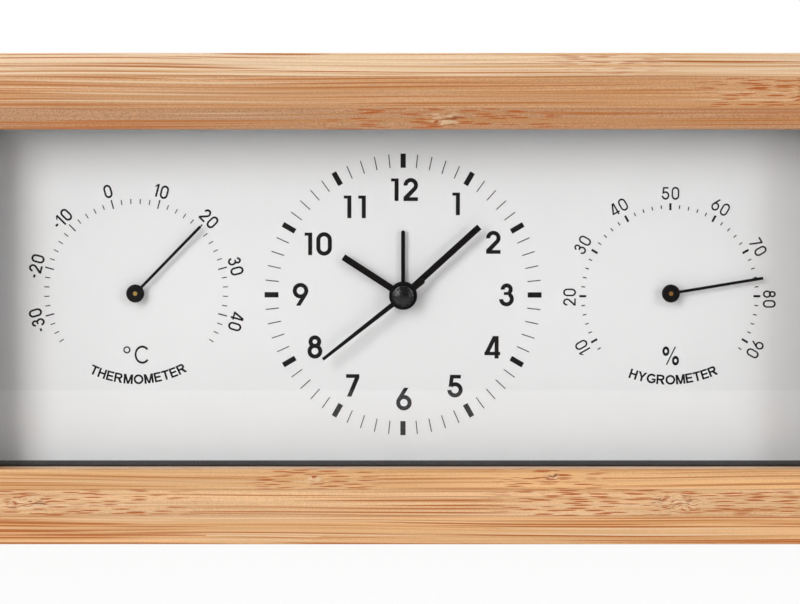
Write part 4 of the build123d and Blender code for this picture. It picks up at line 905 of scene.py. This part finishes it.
class CLOCK_OT_movement(Operator):
    """Finish the housings, wheels and electrical pieces of the movement"""

    bl_idname = "clock.movement"
    bl_label = "Movement"

    def execute(self, context):
        # Black ABS housings with a fine matt mould texture.
        shell = grained("black_abs_housing", linear("#201f1f"), 0.5, 0.3, 0.02, variation=0.1)
        # Acetal gear wheels: milk-white, waxy and slippery looking.
        wheel = grained("acetal_wheels", linear("#e8e4d8"), 0.34, 0.5, 0.006, variation=0.02)
        # Glass-filled brown-green laminate with a clear solder mask.
        laminate = grained(
            "epoxy_laminate", linear("#3f6b3f"), 0.32, 0.35, 0.005, variation=0.1, coat=0.3
        )
        # Black epoxy blob or moulded chip: dull with a fine flow.
        chip = grained("moulded_epoxy", linear("#161616"), 0.45, 0.4, 0.006, variation=0.1)
        # Annealed motor sheet with its rolled grain and a dull shine.
        iron = grained("motor_sheet", linear("#8d8f90"), 0.4, 0.3, 0.004, 1.0, smear=(6, 1, 1))
        # Sintered magnet: dark grey and fine-grained.
        magnet = grained("sintered_magnet", linear("#4a494b"), 0.42, 0.2, 0.008, 0.6)
        # Drawn nickel-plated can of the quartz crystal and of the contacts.
        nickel = grained("nickel_plate", linear("#c9c8c2"), 0.24, 0.3, 0.003, 1.0, smear=(1, 4, 1))
        # Spring brass strip.
        strip = grained("spring_brass", linear("#c99f56"), 0.3, 0.25, 0.003, 1.0, smear=(1, 1, 5))
        # Black disc of a small sounder with a matt film.
        sounder = grained("sounder_shell", linear("#1b1b1d"), 0.4, 0.35, 0.01, variation=0.08)
        paint(["movement_front_housing", "movement_rear_housing"], shell)
        paint(
            ["rotor_pinion", "fifth_wheel", "second_wheel", "third_wheel", "minute_wheel",
             "motion_wheel", "hour_wheel", "alarm_wheel", "alarm_set_pinion", "train_bridge",
             "coil_bobbin"], wheel,
        )
        paint(["circuit_board"], laminate)
        paint(["chip"], chip)
        paint(["stator", "coil_core"], iron)
        paint(["rotor_magnet"], magnet)
        paint(["quartz_crystal", "negative_contact", "positive_contact"], nickel)
        paint(["alarm_contact"], strip)
        paint(["buzzer"], sounder)
        paint(["coil_winding"], wound_wire("enamelled_copper_wire", linear("#b5622f"), 0.12))
        return {"FINISHED"}


class CLOCK_OT_back(Operator):
    """Finish the rear cover, battery door, knobs, switch and screws"""

    bl_idname = "clock.back"
    bl_label = "Back"

    def execute(self, context):
        # Black ABS cover, spark-eroded so that it hides scratches.
        cover = grained("textured_abs_cover", linear("#232222"), 0.52, 0.45, 0.03, variation=0.1)
        # The same ABS, a little smoother, on what fingers turn and push.
        touched = grained("smooth_abs_knobs", linear("#1c1b1b"), 0.36, 0.35, 0.012, variation=0.08)
        # Zinc-plated steel screws: bluish bright with fine turning marks.
        screws = grained("zinc_plated_screws", linear("#c3c6c9"), 0.27, 0.18, 0.004, 1.0)
        paint(["rear_cover", "battery_door"], cover)
        paint(["time_set_knob", "alarm_set_knob", "alarm_switch"], touched)
        paint(
            ["dial_screws", "housing_screws", "movement_screws", "bridge_screws", "gauge_screws",
             "cover_screws"], screws,
        )
        return {"FINISHED"}


class CLOCK_OT_battery(Operator):
    """Finish the battery in a plain printed jacket with bare ends"""

    bl_idname = "clock.battery"
    bl_label = "Battery"

    def execute(self, context):
        # Shrunk plastic jacket over a steel can: satin, with bare nickel at both ends.
        material, tree, shader, place = new_material("battery_jacket")
        low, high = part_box("battery")
        along = node(tree, "SeparateXYZ", {0: place})
        run = node(tree, "MapRange", {"Value": along, "From Min": low.x, "From Max": high.x})
        tint = linear("#c9c8c4")
        jacket = 0.02, 0.955  # shares of the length at which it starts and ends
        for start, tone in ((jacket[0], "#3c5a78"), (0.80, "#c4c7c9"), (jacket[1], "#c9c8c4")):
            past = node(tree, "Math", {0: run, 1: start}, operation="GREATER_THAN")
            tint = node(tree, "Mix", {0: past, 6: tint, 7: linear(tone)}, 2, data_type="RGBA")
        middle, half = sum(jacket) / 2, (jacket[1] - jacket[0]) / 2
        covered = node(tree, "Math", {0: run, 1: middle, 2: half}, operation="COMPARE")
        bare = node(tree, "Math", {0: 1.0, 1: covered}, operation="SUBTRACT")
        scuff = node(tree, "TexNoise", {"Vector": place, "Scale": 900.0, "Detail": 3.0}, "Fac")
        feed(tree, shader, {
            "Base Color": tint, "Metallic": bare,
            "Roughness": node(tree, "MapRange", {"Value": scuff, "To Min": 0.2, "To Max": 0.42}),
            "Normal": node(tree, "Bump", {"Strength": 0.3, "Distance": 0.01 * MM, "Height": scuff}),
        })
        paint(["battery"], material)
        return {"FINISHED"}


class CLOCK_OT_studio(Operator):
    """Set up the floor, the lamps, the room and the camera"""

    bl_idname = "clock.studio"
    bl_label = "Studio"

    def execute(self, context):
        scene = context.scene
        studio = scene.studio
        scene.view_settings.view_transform = "Standard"

        # White paper floor: nearly white to the camera, and it keeps part of the clock's shadow.
        bm = bmesh.new()
        bmesh.ops.create_grid(bm, x_segments=8, y_segments=8, size=1)
        half_width, half_depth = 1.6, 1.2  # metres
        bmesh.ops.scale(bm, vec=(half_width, half_depth, 1), verts=bm.verts)
        bmesh.ops.translate(bm, vec=(0, half_depth - studio.floor_front, 0), verts=bm.verts)
        mesh = bpy.data.meshes.new("floor")
        bm.to_mesh(mesh)
        bm.free()
        floor = bpy.data.objects.new("floor", mesh)
        scene.collection.objects.link(floor)
        material, tree, shader, place = new_material("white_paper_floor")
        tooth = node(tree, "TexNoise", {"Vector": place, "Scale": 700.0}, "Fac")
        feed(tree, shader, {
            "Base Color": linear("#efefef"), "Roughness": 0.8, "Specular IOR Level": 0.1,
            "Normal": node(tree, "Bump", {"Strength": 0.2, "Distance": 0.05 * MM, "Height": tooth}),
        })
        ray = node(tree, "LightPath", {}, "Is Camera Ray")
        seen = ray
        for kind in ("Is Glossy Ray", "Is Transmission Ray"):
            seen = node(tree, "Math", {0: seen, 1: ray.node.outputs[kind]}, operation="MAXIMUM")
        both = node(tree, "MixShader", {
            0: node(tree, "Math", {0: seen, 1: studio.floor_glow}, operation="MULTIPLY"),
            1: shader.outputs[0],
            2: node(tree, "Emission", {"Color": (1, 1, 1, 1), "Strength": 1.0}),
        })
        tree.links.new(both, tree.nodes["Material Output"].inputs["Surface"])
        mesh.materials.append(material)

        # The room: white behind the clock, dim in front of it, and an even soft light.
        world = bpy.data.worlds.new("room")
        world.use_nodes = True
        scene.world = world
        tree = world.node_tree
        facing = node(tree, "TexCoord", {}, "Generated")
        back = node(tree, "SeparateXYZ", {0: facing}, "Y")
        glow = node(
            tree, "MapRange",
            {"Value": back, "From Min": -0.75, "From Max": 0.1, "To Min": 0.02, "To Max": 1.0},
            interpolation_type="SMOOTHSTEP",
        )
        ray = node(tree, "LightPath", {}, "Is Camera Ray")
        seen = node(
            tree, "Math", {0: ray, 1: ray.node.outputs["Is Transmission Ray"]}, operation="MAXIMUM"
        )
        mirrored = node(
            tree, "Mix", {0: ray.node.outputs["Is Glossy Ray"], 2: studio.room, 3: glow},
            data_type="FLOAT",
        )
        feed(tree, tree.nodes["Background"], {
            "Color": (1, 1, 1, 1),
            "Strength": node(tree, "Mix", {0: seen, 2: mirrored, 3: 1.0}, data_type="FLOAT"),
        })

        # Soft lamps, turned to the middle of the clock: power, place, width and height in metres.
        for name, power, spot, width, height in (
            ("left_lamp", studio.left_lamp, (-0.60, -1.02, 0.52), 0.55, 0.95),
            ("right_lamp", studio.right_lamp, (0.88, -0.98, 0.50), 0.50, 0.95),
            ("top_lamp", studio.top_lamp, (0.0, 0.38, 1.10), 1.2, 0.7),
            ("back_lamp", studio.back_lamp, (0.45, 1.15, 0.60), 1.6, 1.6),
        ):
            light = bpy.data.lights.new(name, "AREA")
            light.shape = "RECTANGLE"
            light.size = width
            light.size_y = height
            light.energy = power
            lamp = bpy.data.objects.new(name, light)
            lamp.location = spot
            aim = Vector((0, 0, CLOCK_HEIGHT * MM)) - Vector(spot)
            lamp.rotation_euler = aim.to_track_quat("-Z", "Y").to_euler()
            scene.collection.objects.link(lamp)

        view = bpy.data.cameras.new("camera")
        view.lens = studio.lens
        view.sensor_width = 36.0
        view.shift_x = studio.side_shift
        view.clip_start = 0.01
        camera = bpy.data.objects.new("camera", view)
        camera.location = (0, -studio.camera_back, studio.camera_height)
        camera.rotation_euler = (math.pi / 2 - studio.camera_tilt, 0, 0)
        scene.collection.objects.link(camera)
        scene.camera = camera
        return {"FINISHED"}


class CLOCK_PT_panel(Panel):
    """Shows the settings and the steps that finish the clock"""

    bl_idname = "CLOCK_PT_panel"
    bl_label = "Thermometer hygrometer clock"
    bl_space_type = "VIEW_3D"
    bl_region_type = "UI"
    bl_category = "Clock"

    def draw(self, context):
        for group in (context.scene.bamboo_finish, context.scene.dial_print, context.scene.studio):
            box = self.layout.box()
            for name in group.__annotations__:
                box.prop(group, name)
        for operator in STEPS:
            self.layout.operator(operator.bl_idname)


GROUPS = {"bamboo_finish": BambooFinish, "dial_print": DialPrint, "studio": Studio}
STEPS = [
    CLOCK_OT_bamboo_frame, CLOCK_OT_pane, CLOCK_OT_dial_board, CLOCK_OT_minute_track,
    CLOCK_OT_numerals, CLOCK_OT_thermometer_scale, CLOCK_OT_hygrometer_scale, CLOCK_OT_hands,
    CLOCK_OT_gauges, CLOCK_OT_movement, CLOCK_OT_back, CLOCK_OT_battery, CLOCK_OT_studio,
]


def register():
    for cls in list(GROUPS.values()) + STEPS + [CLOCK_PT_panel]:
        bpy.utils.register_class(cls)
    for name, group in GROUPS.items():
        setattr(bpy.types.Scene, name, PointerProperty(type=group))


def unregister():
    for name in GROUPS:
        delattr(bpy.types.Scene, name)
    for cls in reversed(list(GROUPS.values()) + STEPS + [CLOCK_PT_panel]):
        bpy.utils.unregister_class(cls)


def main():
    register()
    bpy.ops.clock.bamboo_frame()
    bpy.ops.clock.pane()
    bpy.ops.clock.dial_board()
    bpy.ops.clock.minute_track()
    bpy.ops.clock.numerals()
    bpy.ops.clock.thermometer_scale()
    bpy.ops.clock.hygrometer_scale()
    bpy.ops.clock.hands()
    bpy.ops.clock.gauges()
    bpy.ops.clock.movement()
    bpy.ops.clock.back()
    bpy.ops.clock.battery()
    bpy.ops.clock.studio()


if __name__ == "__main__":
    main()
